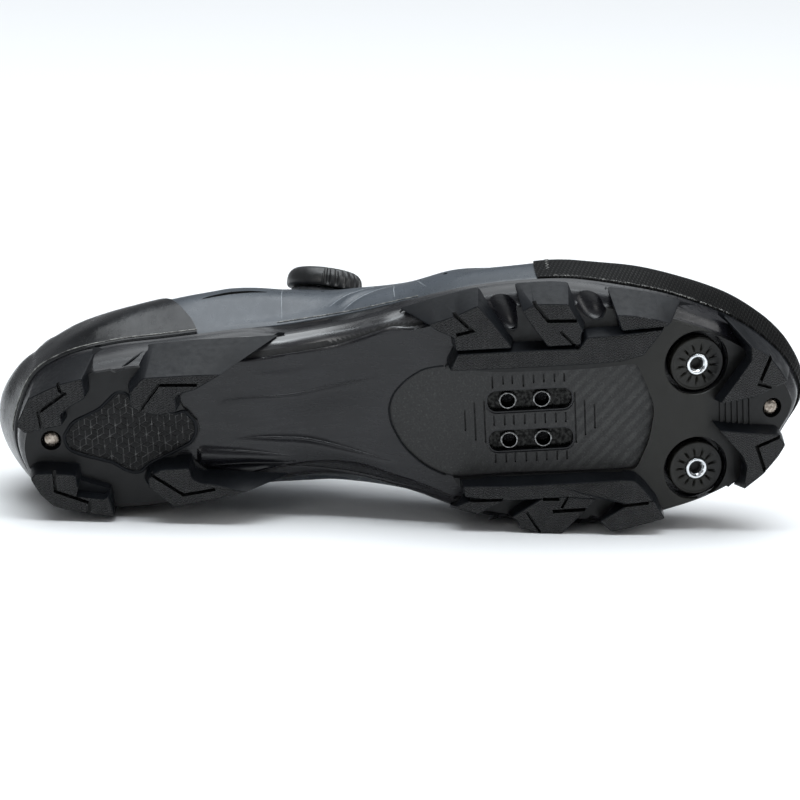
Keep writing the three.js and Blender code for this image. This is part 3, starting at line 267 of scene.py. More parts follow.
def panel_twill():
    k = Look("panel_twill", (0.02, 0.02, 0.02), 0.45, spec=0.4)
    x, y, z = k.axes()
    cross = k.math("MULTIPLY", k.math("SUBTRACT", y, x), 0.7071)
    along = k.math("MULTIPLY", k.math("ADD", x, y), 0.7071)
    v = k.node("ShaderNodeCombineXYZ", {0: k.math("MULTIPLY", cross, 0.55), 1: k.math("MULTIPLY", along, 0.1), 2: 0.0}).outputs[0]
    drift = k.noise(1.0, 2, vector=v)
    tow = k.ramp(k.math("SINE", k.math("ADD", k.math("MULTIPLY", cross, 1.9), k.math("MULTIPLY", drift, 2.2))), -0.75, 0.9)
    fibre = k.noise(1.0, 4, vector=k.node("ShaderNodeCombineXYZ", {0: k.math("MULTIPLY", cross, 0.8), 1: k.math("MULTIPLY", along, 5.0), 2: 0.0}).outputs[0])
    # The lighter tow stripes are a painted sheen on the twill: they fade out towards the heel and in patches.
    patch = k.math("MULTIPLY", tow, k.math("MULTIPLY", k.ramp(y, 165, 214, 0.08, 1.0), k.ramp(k.noise(0.25, 3), 0.35, 0.62, 0.35, 1.0)))
    k.tint(k.math("MULTIPLY", patch, k.ramp(fibre, 0.25, 0.7, 0.4, 1.0)), (0.0125, 0.0126, 0.0128), (0.031, 0.0312, 0.03))
    k.over(k.ramp(k.noise(1.3, 5, 0.75), 0.5, 0.7, 0, 0.8), k.last, (0.042, 0.042, 0.0415))
    k.over(k.ramp(k.noise(1.6, 4, 0.7), 0.48, 0.3, 0, 0.9), k.last, (0.003, 0.003, 0.003))
    k.gloss(patch, 0.0, 1.0, 0.5, 0.36)
    k.bump(tow, 0.25, 0.12)
    k.bump(k.noise(3.4, 4, 0.7), 0.5, 0.12)
    return k.m


def hex_gloss():
    k = Look("hexagon_inlay", (0.004, 0.004, 0.0045), 0.34, spec=0.16)
    cell = k.voronoi(k.scaled(0.42, 0.42, 0.42), "F1", 1.0, out=1)
    grey = k.node("ShaderNodeSeparateColor", {0: cell}).outputs[0]
    k.tint(k.ramp(grey, 0.1, 0.9), (0.0016, 0.0016, 0.0018), (0.0095, 0.0095, 0.0098))
    k.gloss(grey, 0, 1, 0.26, 0.5)
    k.bump(k.noise(4.0, 3), 0.35, 0.05)
    return k.m


def hex_lines():
    k = Look("hexagon_lines", (0.06, 0.06, 0.06), 0.4, spec=0.5)
    k.tint(k.ramp(k.noise(0.5, 3), 0.38, 0.62), (0.022, 0.022, 0.022), (0.12, 0.12, 0.118))
    return k.m


def metal(name, a, b, rough, scratch=1.0):
    k = Look(name, a, rough, metallic=1.0)
    k.tint(k.ramp(k.noise(0.9, 4), 0.35, 0.7), a, b)
    k.gloss(k.noise(3.0, 4), 0.3, 0.8, rough * 0.75, rough * 1.5)
    k.bump(k.noise(5.0, 4), 0.2 * scratch, 0.05)
    return k.m


def shell_synthetic():
    k = Look("upper_synthetic", (0.03, 0.036, 0.043), 0.36, spec=0.4, Coat_Weight=0.05, Coat_Roughness=0.25)
    x, y, z = k.axes()
    grain = k.voronoi(k.scaled(2.6, 2.6, 2.6), "F1", 1.0)
    k.tint(k.ramp(k.noise(0.03, 4), 0.35, 0.7), (0.033, 0.0415, 0.052), (0.049, 0.0595, 0.0725))
    # Painted shade: the skin is darker towards its bottom, near the sole, where less light reaches it.
    low = k.ramp(k.math("SUBTRACT", z, k.math("MULTIPLY", k.noise(0.3, 3), 3.0)), 18, 31, 0.4, 0.0)
    k.over(low, k.last, (0.014, 0.018, 0.0225))
    k.over(k.ramp(k.noise(1.1, 4, 0.6), 0.64, 0.8, 0, 0.35), k.last, (0.05, 0.066, 0.084))
    k.gloss(k.noise(0.35, 5, 0.6), 0.3, 0.75, 0.26, 0.38)
    k.bump(grain, 0.16, 0.1)
    k.bump(k.noise(0.25, 3), 0.2, 0.5)
    return k.m


def skin_black():
    k = Look("heel_counter_skin", (0.003, 0.0034, 0.0042), 0.3, spec=0.26, Coat_Weight=0.06, Coat_Roughness=0.2)
    grain = k.voronoi(k.scaled(2.2, 2.2, 2.2), "F1", 1.0)
    k.tint(k.ramp(k.noise(0.05, 4), 0.35, 0.7), (0.0018, 0.0022, 0.003), (0.004, 0.0048, 0.0064))
    k.gloss(k.noise(0.3, 5, 0.6), 0.3, 0.75, 0.2, 0.3)
    k.bump(grain, 0.14, 0.1)
    k.bump(k.noise(0.3, 3), 0.25, 0.4)
    return k.m


def toe_weave():
    k = Look("toe_cap_weave", (0.01, 0.01, 0.0105), 0.32, spec=0.09)
    x, y, z = k.axes()
    along = k.math("SUBTRACT", y, k.math("MULTIPLY", x, 0.62))
    row = k.math("MULTIPLY", k.math("ADD", z, k.math("MULTIPLY", y, 0.1)), 0.72)
    shift = k.math("MULTIPLY", k.math("FLOOR", row), 0.5)
    a = k.math("SINE", k.math("MULTIPLY", k.math("ADD", k.math("MULTIPLY", along, 0.68), k.math("ADD", shift, k.math("MULTIPLY", row, 0.3))), 6.2832))
    b = k.math("ABSOLUTE", k.math("SINE", k.math("MULTIPLY", row, 3.1416)))
    dash = k.math("MULTIPLY", k.ramp(a, -0.25, 0.6), k.ramp(b, 0.25, 0.8))
    fade = k.ramp(k.noise(0.1, 3), 0.3, 0.7, 0.6, 1.0)
    # The raised dashes are lighter: partly the weave's own yarn, partly a painted highlight on their tops.
    k.tint(k.math("MULTIPLY", dash, fade), (0.0012, 0.0012, 0.0013), (0.02, 0.02, 0.0195))
    k.gloss(dash, 0, 1, 0.6, 0.24)
    k.bump(dash, 1.0, 0.45)
    k.bump(k.noise(0.3, 3), 0.2, 0.4)
    return k.m


def textile(name, a, b, pitch=0.9, sheen=0.25):
    k = Look(name, a, 0.85, spec=0.2, Sheen_Weight=sheen, Sheen_Roughness=0.5)
    x, y, z = k.axes()
    p = 6.2832 / pitch
    u = k.math("SINE", k.math("MULTIPLY", k.math("ADD", y, k.math("MULTIPLY", z, 0.5)), p))
    v = k.math("SINE", k.math("MULTIPLY", k.math("SUBTRACT", k.math("ADD", x, z), k.math("MULTIPLY", y, 0.2)), p))
    w = k.math("MULTIPLY", k.ramp(u, -1, 1), k.ramp(v, -1, 1))
    k.tint(w, a, b)
    k.bump(w, 0.7, 0.3)
    k.bump(k.noise(0.4, 3), 0.3, 0.5)
    return k.m


def plastic(name, a, b, rough):
    k = Look(name, a, rough, spec=0.5)
    k.tint(k.ramp(k.noise(0.4, 4), 0.35, 0.7), a, b)
    k.gloss(k.noise(0.9, 4), 0.3, 0.75, rough * 0.85, rough * 1.25)
    k.bump(k.noise(7.0, 3), 0.3, 0.05)
    return k.m


def cord_look():
    k = Look("lace_braid", (0.02, 0.02, 0.021), 0.5, spec=0.4)
    x, y, z = k.axes()
    a = k.math("SINE", k.math("MULTIPLY", k.math("ADD", x, k.math("ADD", y, z)), 7.0))
    b = k.math("SINE", k.math("MULTIPLY", k.math("SUBTRACT", x, y), 7.0))
    w = k.math("MULTIPLY", k.ramp(a, -1, 1), k.ramp(b, -1, 1))
    k.tint(w, (0.013, 0.013, 0.014), (0.05, 0.05, 0.052))
    k.bump(w, 0.6, 0.15)
    return k.m


def floor_look():
    k = Look("floor_pale", (0.86, 0.865, 0.87), 0.9, spec=0.1)
    co = k.node("ShaderNodeTexCoord").outputs["Object"]
    n = k.noise(0.6, 3, vector=co)
    k.tint(n, (0.855, 0.86, 0.866), (0.865, 0.87, 0.875))
    return k.m


FACE, WALL, FLOOR_R = rubber_face(), rubber_wall(), rubber_floor()
PLATE, TWILL, HEX, HEXLINE = plate_satin(), panel_twill(), hex_gloss(), hex_lines()
PLATE_GLOSS = plate_satin("plate_polished", 0.9, 0.45)
STEEL = metal("insert_steel", (0.62, 0.64, 0.66), (0.82, 0.84, 0.85), 0.2)
DARKSTEEL = metal("nut_steel", (0.006, 0.006, 0.006), (0.026, 0.026, 0.025), 0.22, 0.3)
BOSSRING = metal("boss_steel", (0.12, 0.12, 0.12), (0.34, 0.34, 0.34), 0.24)
BRONZE = metal("screw_bronze", (0.18, 0.15, 0.125), (0.42, 0.37, 0.32), 0.3)
SHELL, COUNTER, WEAVE = shell_synthetic(), skin_black(), toe_weave()
LINING = textile("lining", (0.012, 0.012, 0.013), (0.035, 0.035, 0.037))
TONGUE_CLOTH = textile("tongue_cloth", (0.016, 0.0165, 0.018), (0.045, 0.046, 0.05), 1.3)
INSOLE_CLOTH = textile("insole_cloth", (0.018, 0.018, 0.02), (0.05, 0.05, 0.055), 1.1)
DIAL_PLASTIC = plastic("dial_plastic", (0.009, 0.0092, 0.0095), (0.016, 0.0163, 0.0168), 0.36)
BASE_PLASTIC = plastic("dial_base_plastic", (0.035, 0.038, 0.042), (0.06, 0.064, 0.07), 0.3)
# Near-black painted shade for the walls of holes, the slit, the tick marks, the insert's bore and the arch's undercut.
PAINTED_SHADE = plastic("painted_shade_black", (0.004, 0.004, 0.004), (0.007, 0.007, 0.007), 0.6)
CORD = cord_look()
THREAD = textile("thread", (0.02, 0.021, 0.023), (0.05, 0.053, 0.058), 0.5)
# The seam beads and lines: real adhesive, with a light colour that is a painted glint.
GLINT = plastic("glue_bead_painted_glint", (0.06, 0.06, 0.058), (0.3, 0.3, 0.28), 0.3)
CREASE = plastic("crease_light", (0.17, 0.19, 0.21), (0.24, 0.26, 0.28), 0.4)


# ---------------------------------------------------------------- tables, as in the CAD
def curve(ys, vs):
    ys, vs = np.asarray(ys, float), np.asarray(vs, float)
    h = np.diff(ys)
    s = np.diff(vs) / h
    t = np.empty(len(ys))
    t[0], t[-1] = s[0], s[-1]
    for i in range(1, len(ys) - 1):
        a, b = s[i - 1], s[i]
        t[i] = 0 if a * b <= 0 else 2 * a * b / (a + b)

    def f(y):
        y = np.clip(np.asarray(y, float), ys[0], ys[-1])
        i = np.clip(np.searchsorted(ys, y, side="right") - 1, 0, len(ys) - 2)
        u = (y - ys[i]) / h[i]
        u2, u3 = u * u, u * u * u
        return (2 * u3 - 3 * u2 + 1) * vs[i] + (u3 - 2 * u2 + u) * h[i] * t[i] + (-2 * u3 + 3 * u2) * vs[i + 1] + (u3 - u2) * h[i] * t[i + 1]
    return f


OUTLINE = np.array([
    (5.9, -3.2, -3.2), (8.6, 8.6, -14.2), (14.5, 19.3, -22.2), (24, 24.7, -27.0), (40, 28.2, -29.4), (60, 29.7, -29.0), (80, 30.9, -26.2),
    (100, 31.7, -23.6), (120, 34.3, -24.4), (140, 38.7, -29.8), (160, 43.2, -37.4), (180, 45.1, -41.7), (197, 44.8, -43.2), (212, 41.7, -42.9),
    (227, 37.1, -40.8), (241, 30.6, -37.7), (252, 24.1, -33.2), (262, 15.9, -25.6), (269, 8.0, -16.0), (273, 0.6, -9.6), (274.3, -4.6, -4.6)])
SOLE = np.array([  # y, tread, sheet, rim, plate, tuck
    (0, 0, 9, 24, 9, 4.2), (30, 0, 9, 23, 9, 4.4), (60, 0, 9, 23.2, 9, 5.4), (84, 0, 12.2, 24.6, 8, 7.5), (110, 0, 16, 26, 6, 8.4), (134, 0, 12.2, 23.6, 6, 6.8),
    (150, 0, 8, 21, 6, 6.2), (170, 0, 7, 19.2, 6, 6.0), (200, 0, 7, 18.2, 6, 5.8), (215, 0.9, 7.9, 19.4, 6, 5.4), (230, 3.1, 10.1, 22.4, 6, 5.0),
    (245, 6.4, 13.4, 26.0, 6.4, 4.6), (260, 10.6, 17.6, 30.0, 7, 4.2), (275, 16, 23, 33.6, 7, 4.0)])
SECTIONS = np.array([  # y, bulgeZ, bulgeLat, bulgeMed, sideZ, sideLat, sideMed, shoulderZ, shoulder
    (5.9, 46, 6.6, 7.4, 70, 1.8, 3.4, 98, 0.34), (14, 45, 0.8, 6.2, 69, -6.4, 3.0, 98, 0.46), (26, 44, 1.8, 4.2, 67, -5.6, 1.2, 97, 0.46),
    (40, 43, 4.0, 3.4, 66, -4.4, 0.6, 96, 0.4), (60, 43, 5.8, 4.0, 66, -1.4, 1.2, 95, 0.34), (80, 44, 6.4, 6.2, 68, -1.6, 3.2, 94, 0.36),
    (100, 45, 5.0, 8.2, 68, -3.2, 4.0, 90, 0.42), (120, 43, 1.8, 8.4, 63, -4.6, 3.4, 81, 0.46), (140, 39, 0.6, 5.6, 56, -5.4, 1.6, 72, 0.5),
    (160, 35, 1, 3.6, 50, -4.8, -1.6, 64, 0.52), (180, 32, 1, 1.8, 45, -4.8, -3.4, 57, 0.54), (200, 31, 1.8, 1.6, 43, -3.8, -3.8, 53, 0.54),
    (220, 32, 3, 1.6, 43, -2.2, -3.8, 51, 0.54), (240, 35, 3.8, 1.6, 44, -1.2, -3.6, 50.5, 0.5), (260, 39, 4, 1.6, 46, -1, -3.4, 50.5, 0.42),
    (274.3, 41, 2.2, 1.6, 46.6, -2.8, -2.8, 50.5, 0.34)])
RIDGE = np.array([(12, -2.5, 124), (60, -1, 122), (84, 0, 113), (100, 0.6, 106), (120, 1, 96), (140, 1.2, 85.5), (160, 1, 76), (180, 0, 68.5),
                  (200, -1.4, 63), (220, -3, 59.4), (240, -4.4, 56.4), (265, -5, 53)])
COLLAR = np.array([(-30, 89), (2, 87.5), (12, 84), (26, 75.5), (42, 67), (58, 64), (72, 67.5), (83, 76.5), (90, 87), (95, 97)])
THROAT = np.array([(80, 19), (105, 17.5), (125, 15.5), (145, 13.2), (160, 10.4), (169, 6.8), (173.5, 1.2)])
TONGUE = np.array([(86, 19), (92, 25), (110, 27), (135, 24), (160, 18.5), (178, 12)])
TOE_SEAM = np.array([(-80, 214), (-44, 206), (-20, 226), (0, 232), (18, 222), (38, 193.5), (44.5, 186.3), (50, 183.8), (80, 176)])
GAP, UPPER_WALL, OVERLAY, LIP, TREAD_LAYER = 0.3, 2.4, 0.9, 3.0, 1.8
HEEL_FAN, TOE_FAN = 36.0, 212.0

tread = curve(SOLE[:, 0], SOLE[:, 1])
sheet = curve(SOLE[:, 0], SOLE[:, 2])
rim = curve(SOLE[:, 0], SOLE[:, 3])
plate_t = curve(SOLE[:, 0], SOLE[:, 4])
tuck = curve(SOLE[:, 0], SOLE[:, 5])
sec = {k: curve(SECTIONS[:, 0], SECTIONS[:, i + 1]) for i, k in enumerate(["bulgeZ", "bulgeLat", "bulgeMed", "sideZ", "sideLat", "sideMed", "shoulderZ", "shoulder"])}
ridge_x, ridge_z = curve(RIDGE[:, 0], RIDGE[:, 1]), curve(RIDGE[:, 0], RIDGE[:, 2])
covered = curve([84, 99, 131, 143], [1, 0, 0, 1])


def plate_z(y):
    return sheet(y) + TREAD_LAYER * covered(y)


def bed(y):
    return plate_z(y) + plate_t(y)


def closed_curve(points, steps):
    p = np.asarray(points, float)
    n = len(p)
    prev, nxt = np.roll(p, 1, 0), np.roll(p, -1, 0)
    h0, h1 = np.linalg.norm(p - prev, axis=1)[:, None], np.linalg.norm(nxt - p, axis=1)[:, None]
    tan = ((p - prev) / h0 * h1 + (nxt - p) / h1 * h0) / (h0 + h1)
    out = []
    for i in range(n):
        a, b, h, ta, tb = p[i], p[(i + 1) % n], h1[i, 0], tan[i], tan[(i + 1) % n]
        s = (np.arange(steps) / steps)[:, None]
        s2, s3 = s * s, s ** 3
        out.append((2 * s3 - 3 * s2 + 1) * a + (s3 - 2 * s2 + s) * h * ta + (-2 * s3 + 3 * s2) * b + (s3 - s2) * h * tb)
    return np.concatenate(out)


FEATHER = closed_curve([(r[1], r[0]) for r in OUTLINE] + [(r[2], r[0]) for r in OUTLINE[1:-1][::-1]], 24)


def leave(c, d):
    P, n = FEATHER, len(FEATHER)
    E = np.roll(P, -1, 0) - P
    den = d[:, 0, None] * E[:, 1] - d[:, 1, None] * E[:, 0]
    den = np.where(np.abs(den) < 1e-9, 1e-12, den)
    dx, dy = P[:, 0] - c[:, 0, None], P[:, 1] - c[:, 1, None]
    t = (dx * E[:, 1] - dy * E[:, 0]) / den
    s = (dx * d[:, 1, None] - dy * d[:, 0, None]) / den
    ok = (t > 0) & (s >= 0) & (s < 1) & (np.abs(den) > 1e-9)
    t = np.where(ok, t, -1)
    j = t.argmax(1)
    tt = t[np.arange(len(c)), j]
    ss = s[np.arange(len(c)), j][:, None]
    at = c + d * tt[:, None]

    def normal(k):
        tan = P[(k + 2) % n] - P[(k - 1) % n]
        tan /= np.linalg.norm(tan, axis=1)[:, None]
        return np.stack([tan[:, 1], -tan[:, 0]], 1)
    nn = normal(j) * (1 - ss) + normal((j + 1) % n) * ss
    nn /= np.linalg.norm(nn, axis=1)[:, None]
    nn *= np.sign((nn * d).sum(1))[:, None]
    return at, nn


def ring_of(heel, waist, toe):
    half = [(math.pi / 2 * i / heel, HEEL_FAN, -1) for i in range(heel)]
    half += [(math.pi / 2, HEEL_FAN + (TOE_FAN - HEEL_FAN) * i / waist, 0) for i in range(waist + 1)]
    half += [(math.pi / 2 * (1 - i / toe), TOE_FAN, 1) for i in range(1, toe + 1)]
    h = np.array(half)

    def make(side, rows):
        a, y, e = rows[:, 0], rows[:, 1], rows[:, 2]
        c = np.stack([ridge_x(y), y], 1)
        d = np.stack([np.where(e == 0, side, side * np.sin(a)), np.where(e == 0, 0, e * np.cos(a))], 1)
        d[np.abs(d[:, 0]) < 1e-9, 0] = 1e-9
        at, out = leave(c, d)
        reach = np.where(e == 0, 0, 0.72 * np.cos(a) * np.where(e < 0, y - OUTLINE[0, 0], OUTLINE[-1, 0] - y))
        sy = y + e * reach
        return at, out, np.stack([ridge_x(sy), sy], 1), np.full(len(y), side)
    L = make(1.0, h)
    M = make(-1.0, h[1:-1][::-1])
    return dict(rim=np.concatenate([L[0], M[0]]), out=np.concatenate([L[1], M[1]]), spine=np.concatenate([L[2], M[2]]), side=np.concatenate([L[3], M[3]]))


def flank(r):
    y, lat = r["rim"][:, 1], (1 + r["side"]) / 2
    w = 0.5 + (lat - 0.5) * np.minimum(1, np.abs(r["out"][:, 0]) * 1.6)
    mix = lambda a, b: sec[a](y) * w + sec[b](y) * (1 - w)
    bulge, side, share = mix("bulgeLat", "bulgeMed")[:, None], mix("sideLat", "sideMed")[:, None], sec["shoulder"](y)[:, None]
    z = lambda v: v[:, None]
    R, O, S = r["rim"], r["out"], r["spine"]
    return np.stack([
        np.concatenate([R, z(rim(y))], 1), np.concatenate([R + O * bulge, z(sec["bulgeZ"](y))], 1), np.concatenate([R + O * side, z(sec["sideZ"](y))], 1),
        np.concatenate([R + (S - R) * share, z(sec["shoulderZ"](y))], 1), np.concatenate([S, z(ridge_z(S[:, 1]))], 1)], 1)


def flank_points(knots, levels):
    d = np.linalg.norm(np.diff(knots, axis=1), axis=2)
    tan = np.zeros_like(knots)
    tan[:, 0] = (knots[:, 1] - knots[:, 0]) / d[:, 0, None]
    for j in (1, 2, 3):
        h0, h1 = d[:, j - 1, None], d[:, j, None]
        tan[:, j] = ((knots[:, j] - knots[:, j - 1]) / h0 * h1 + (knots[:, j + 1] - knots[:, j]) / h1 * h0) / (h0 + h1)
    e = knots[:, 4] - knots[:, 3]
    e[:, 2] = 0
    tan[:, 4] = e / np.linalg.norm(e, axis=1)[:, None]
    out = []
    for t in levels:
        i = min(3, int(t))
        s = t - i
        h = d[:, i, None]
        out.append((2 * s ** 3 - 3 * s ** 2 + 1) * knots[:, i] + (s ** 3 - 2 * s ** 2 + s) * h * tan[:, i] + (-2 * s ** 3 + 3 * s ** 2) * knots[:, i + 1] + (s ** 3 - s ** 2) * h * tan[:, i + 1])
    return np.stack(out)


def normals_of(r, grid):
    L, n = grid.shape[:2]
    along = np.roll(grid, -1, 1) - np.roll(grid, 1, 1)
    up = np.zeros_like(grid)
    up[1:-1] = grid[2:] - grid[:-2]
    v = np.cross(along, up)
    v /= np.maximum(np.linalg.norm(v, axis=2), 1e-9)[..., None]
    v[0] = np.concatenate([r["out"], np.zeros((n, 1))], 1)
    m = n // 2
    for i in range(n):
        j = min(i, n - i)
        dd = grid[-1, min(m, j + 1)] - grid[-1, max(0, j - 1)]
        w = np.array([0, -dd[2] + (0.15 if j >= m - 1 else 0) * dd[1] + (-0.1 if j <= 1 else 0) * dd[1], dd[1]])
        v[-1, i] = w / max(np.linalg.norm(w), 1e-9)
    return v


# ---------------------------------------------------------------- mesh helpers
def folded(loops):
    """Closed body through loops of equal count, whose first and last loop are folded on to the spine."""
    L, n = len(loops), len(loops[0])
    m, verts, start = n // 2, [], []
    for k in range(L):
        start.append(len(verts))
        verts.extend(list(map(tuple, loops[k][: (m + 1 if k in (0, L - 1) else n)])))
    i = np.arange(n)
    faces = []
    for k in range(L - 1):
        a = start[k] + (np.minimum(i, n - i) if k == 0 else i)
        d = start[k + 1] + (np.minimum(i, n - i) if k + 1 == L - 1 else i)
        for q in zip(a, np.roll(a, -1), np.roll(d, -1), d):
            f = []
            for v in q:
                if int(v) not in f:
                    f.append(int(v))
            if len(f) > 2:
                faces.append(f)
    return verts, faces


def lofted(loops, cap=True, closed=True):
    """Tube through closed loops of equal count, with n-gon caps."""
    L, n = len(loops), len(loops[0])
    verts = [tuple(map(float, p)) for lp in loops for p in lp]
    faces = []
    for k in range(L - 1):
        for i in range(n if closed else n - 1):
            j = (i + 1) % n
            faces.append([k * n + i, k * n + j, (k + 1) * n + j, (k + 1) * n + i])
    if cap:
        faces.append(list(range(n))[::-1])
        faces.append([(L - 1) * n + i for i in range(n)])
    return verts, faces


def temp(verts, faces, mat=0):
    """A closed solid as a scratch object, triangulated, with its faces out."""
    me = bpy.data.meshes.new("t")
    me.from_pydata([tuple(map(float, v)) for v in verts], [], [list(map(int, f)) for f in faces])
    bm = bmesh.new()
    bm.from_mesh(me)
    bmesh.ops.remove_doubles(bm, verts=bm.verts, dist=1e-5)
    bmesh.ops.triangulate(bm, faces=bm.faces[:], ngon_method="EAR_CLIP")
    bmesh.ops.recalc_face_normals(bm, faces=bm.faces[:])
    if bm.calc_volume(signed=True) < 0:
        bmesh.ops.reverse_faces(bm, faces=bm.faces[:])
    for f in bm.faces:
        f.material_index = mat
    bm.to_mesh(me)
    bm.free()
    o = bpy.data.objects.new("t", me)
    scene.collection.objects.link(o)
    return o


def drop(o):
    me = o.data
    bpy.data.objects.remove(o)
    if me.users == 0:
        bpy.data.meshes.remove(me)


def combine(a, b, how):
    before = len(a.data.polygons)
    m = a.modifiers.new("b", "BOOLEAN")
    m.object = b
    m.operation = how
    m.solver = "MANIFOLD"
    dg = bpy.context.evaluated_depsgraph_get()
    me = bpy.data.meshes.new_from_object(a.evaluated_get(dg))
    a.modifiers.clear()
    if len(me.polygons) == 0 and before:
        print("BOOLEAN EMPTY", how, a.name)
        m = a.modifiers.new("b", "BOOLEAN")
        m.object = b
        m.operation = how
        m.solver = "EXACT"
        dg = bpy.context.evaluated_depsgraph_get()
        me = bpy.data.meshes.new_from_object(a.evaluated_get(dg))
        a.modifiers.clear()
    old = a.data
    a.data = me
    bpy.data.meshes.remove(old)
    drop(b)
    return a


def minus(a, b):
    return combine(a, b, "DIFFERENCE")


def plus(a, b):
    return combine(a, b, "UNION")


def common(a, b):
    return combine(a, b, "INTERSECT")


def pull(o):
    """Vertices, faces and face materials of a scratch object, which goes."""
    me = o.data
    v = np.empty(len(me.vertices) * 3)
    me.vertices.foreach_get("co", v)
    f = [list(p.vertices) for p in me.polygons]
    mats = [p.material_index for p in me.polygons]
    drop(o)
    return v.reshape(-1, 3), f, mats


def piece(name, parts, mats, stands_for=(), angle=35, classify=None, subdivide=0):
    """One finished object from (verts, faces[, material ids]) lists in shoe millimetres."""
    verts, faces, ids = [], [], []
    for part in parts:
        v, f = part[0], part[1]
        k = len(verts)
        verts.extend([tuple(map(float, p)) for p in v])
        faces.extend([[int(i) + k for i in q] for q in f])
        own = part[2] if len(part) > 2 else 0
        ids.extend(own if isinstance(own, (list, np.ndarray)) else [own] * len(f))
    me = bpy.data.meshes.new(name)
    me.from_pydata(verts, [], faces)
    me.polygons.foreach_set("material_index", np.array(ids, dtype=np.int32))
    if classify:
        cen, nor = np.empty(len(me.polygons) * 3), np.empty(len(me.polygons) * 3)
        me.polygons.foreach_get("center", cen)
        me.polygons.foreach_get("normal", nor)
        me.polygons.foreach_set("material_index", np.asarray(classify(cen.reshape(-1, 3), nor.reshape(-1, 3), np.array(ids)), dtype=np.int32))
    me.validate()
    co = np.empty(len(me.vertices) * 3)
    me.vertices.foreach_get("co", co)
    co = co.reshape(-1, 3)
    at = me.attributes.new("s", "FLOAT_VECTOR", "POINT")
    at.data.foreach_set("vector", co.ravel())
    me.vertices.foreach_set("co", world(co).ravel())
    me.update()
    for m in mats:
        me.materials.append(m)
    me.polygons.foreach_set("use_smooth", np.ones(len(me.polygons), dtype=bool))
    me.set_sharp_from_angle(angle=math.radians(angle))
    o = bpy.data.objects.new(name, me)
    scene.collection.objects.link(o)
    if subdivide:
        s = o.modifiers.new("round", "SUBSURF")
        s.levels = s.render_levels = subdivide
    if stands_for:
        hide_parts(*stands_for)
    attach(o, "root")
    return o


def resample(points, step, closed=False):
    p = np.asarray(points, float)
    if closed:
        p = np.concatenate([p, p[:1]])
    d = np.concatenate([[0], np.cumsum(np.linalg.norm(np.diff(p, axis=0), axis=1))])
    n = max(2, int(round(d[-1] / step)) + 1)
    s = np.linspace(0, d[-1], n)
    out = np.stack([np.interp(s, d, p[:, k]) for k in range(p.shape[1])], 1)
    return out[:-1] if closed else out


def smooth_path(points, step, closed=False):
    """Catmull-Rom through the points, resampled at even steps."""
    p = np.asarray(points, float)
    n = len(p)
    out = []
    for i in range(n if closed else n - 1):
        a = p[(i - 1) % n] if closed or i > 0 else 2 * p[0] - p[1]
        b, c = p[i], p[(i + 1) % n]
        d = p[(i + 2) % n] if closed or i + 2 < n else 2 * p[-1] - p[-2]
        for s in np.linspace(0, 1, 12, endpoint=False):
            out.append(0.5 * (2 * b + (c - a) * s + (2 * a - 5 * b + 4 * c - d) * s * s + (-a + 3 * b - 3 * c + d) * s ** 3))
    if not closed:
        out.append(p[-1])
    return resample(out, step, closed)


def tube(path, radius, sides=8, closed=False, flat=None, up=None):
    """Tube along a 3-D path. radius is a number or one for each point; flat squeezes it across up."""
    p = np.asarray(path, float)
    n = len(p)
    if closed:
        tan = np.roll(p, -1, 0) - np.roll(p, 1, 0)
    else:
        tan = np.gradient(p, axis=0)
    tan /= np.maximum(np.linalg.norm(tan, axis=1), 1e-9)[:, None]
    ref = np.array([0.0, 0, 1]) if up is None else None
    loops = []
    last = None
    rad = np.broadcast_to(np.asarray(radius, float), (n,))
    for i in range(n):
        if up is not None:
            u = np.asarray(up[i], float)
        elif last is None:
            u = ref if abs(tan[i] @ ref) < 0.9 else np.array([1.0, 0, 0])
        else:
            u = last
        u = u - tan[i] * (u @ tan[i])
        u /= max(np.linalg.norm(u), 1e-9)
        last = u
        w = np.cross(tan[i], u)
        a = np.arange(sides) / sides * 2 * math.pi
        k = 1.0 if flat is None else flat
        loops.append(p[i] + np.outer(np.cos(a), w) * rad[i] + np.outer(np.sin(a), u) * rad[i] * k)
    if closed:
        loops.append(loops[0])
        v, f = lofted(loops[:-1], cap=False)
        m = (len(loops) - 2) * sides
        for i in range(sides):
            j = (i + 1) % sides
            f.append([m + i, m + j, j, i])
        return v, f
    return lofted(loops)


def area2(p):
    x, y = p[:, 0], p[:, 1]
    return 0.5 * float(np.sum(x * np.roll(y, -1) - np.roll(x, -1) * y))


def offset(poly, d):
    """Polygon moved inwards by d."""
    p = np.asarray(poly, float)
    s = 1 if area2(p) > 0 else -1
    e = np.roll(p, -1, 0) - p
    e /= np.maximum(np.linalg.norm(e, axis=1), 1e-9)[:, None]
    nrm = np.stack([-e[:, 1], e[:, 0]], 1) * s
    a, b = np.roll(nrm, 1, 0), nrm
    m = a + b
    m /= np.maximum((m * m).sum(1), 0.35)[:, None]
    return p + 2 * m * d


def fillet(poly, radius, segs=2):
    p = np.asarray(poly, float)
    n = len(p)
    out = []
    for i in range(n):
        v, a, b = p[i], p[(i - 1) % n], p[(i + 1) % n]
        la, lb = np.linalg.norm(a[:2] - v[:2]), np.linalg.norm(b[:2] - v[:2])
        d = min(radius, 0.4 * la, 0.4 * lb)
        A, B = v + (a - v) / max(la, 1e-9) * d, v + (b - v) / max(lb, 1e-9) * d
        for k in range(segs + 1):
            t = k / segs
            out.append((1 - t) ** 2 * A + 2 * t * (1 - t) * v + t * t * B)
    return np.array(out)


def divide(polys, step):
    """The same extra corners on each of several matching polygons."""
    n = len(polys[0])
    outs = [[] for _ in polys]
    for i in range(n):
        j = (i + 1) % n
        k = max(1, int(np.linalg.norm(polys[0][j][:2] - polys[0][i][:2]) // step))
        for q, o in zip(polys, outs):
            for s in range(k):
                o.append(q[i] + (q[j] - q[i]) * s / k)
    return [np.array(o) for o in outs]


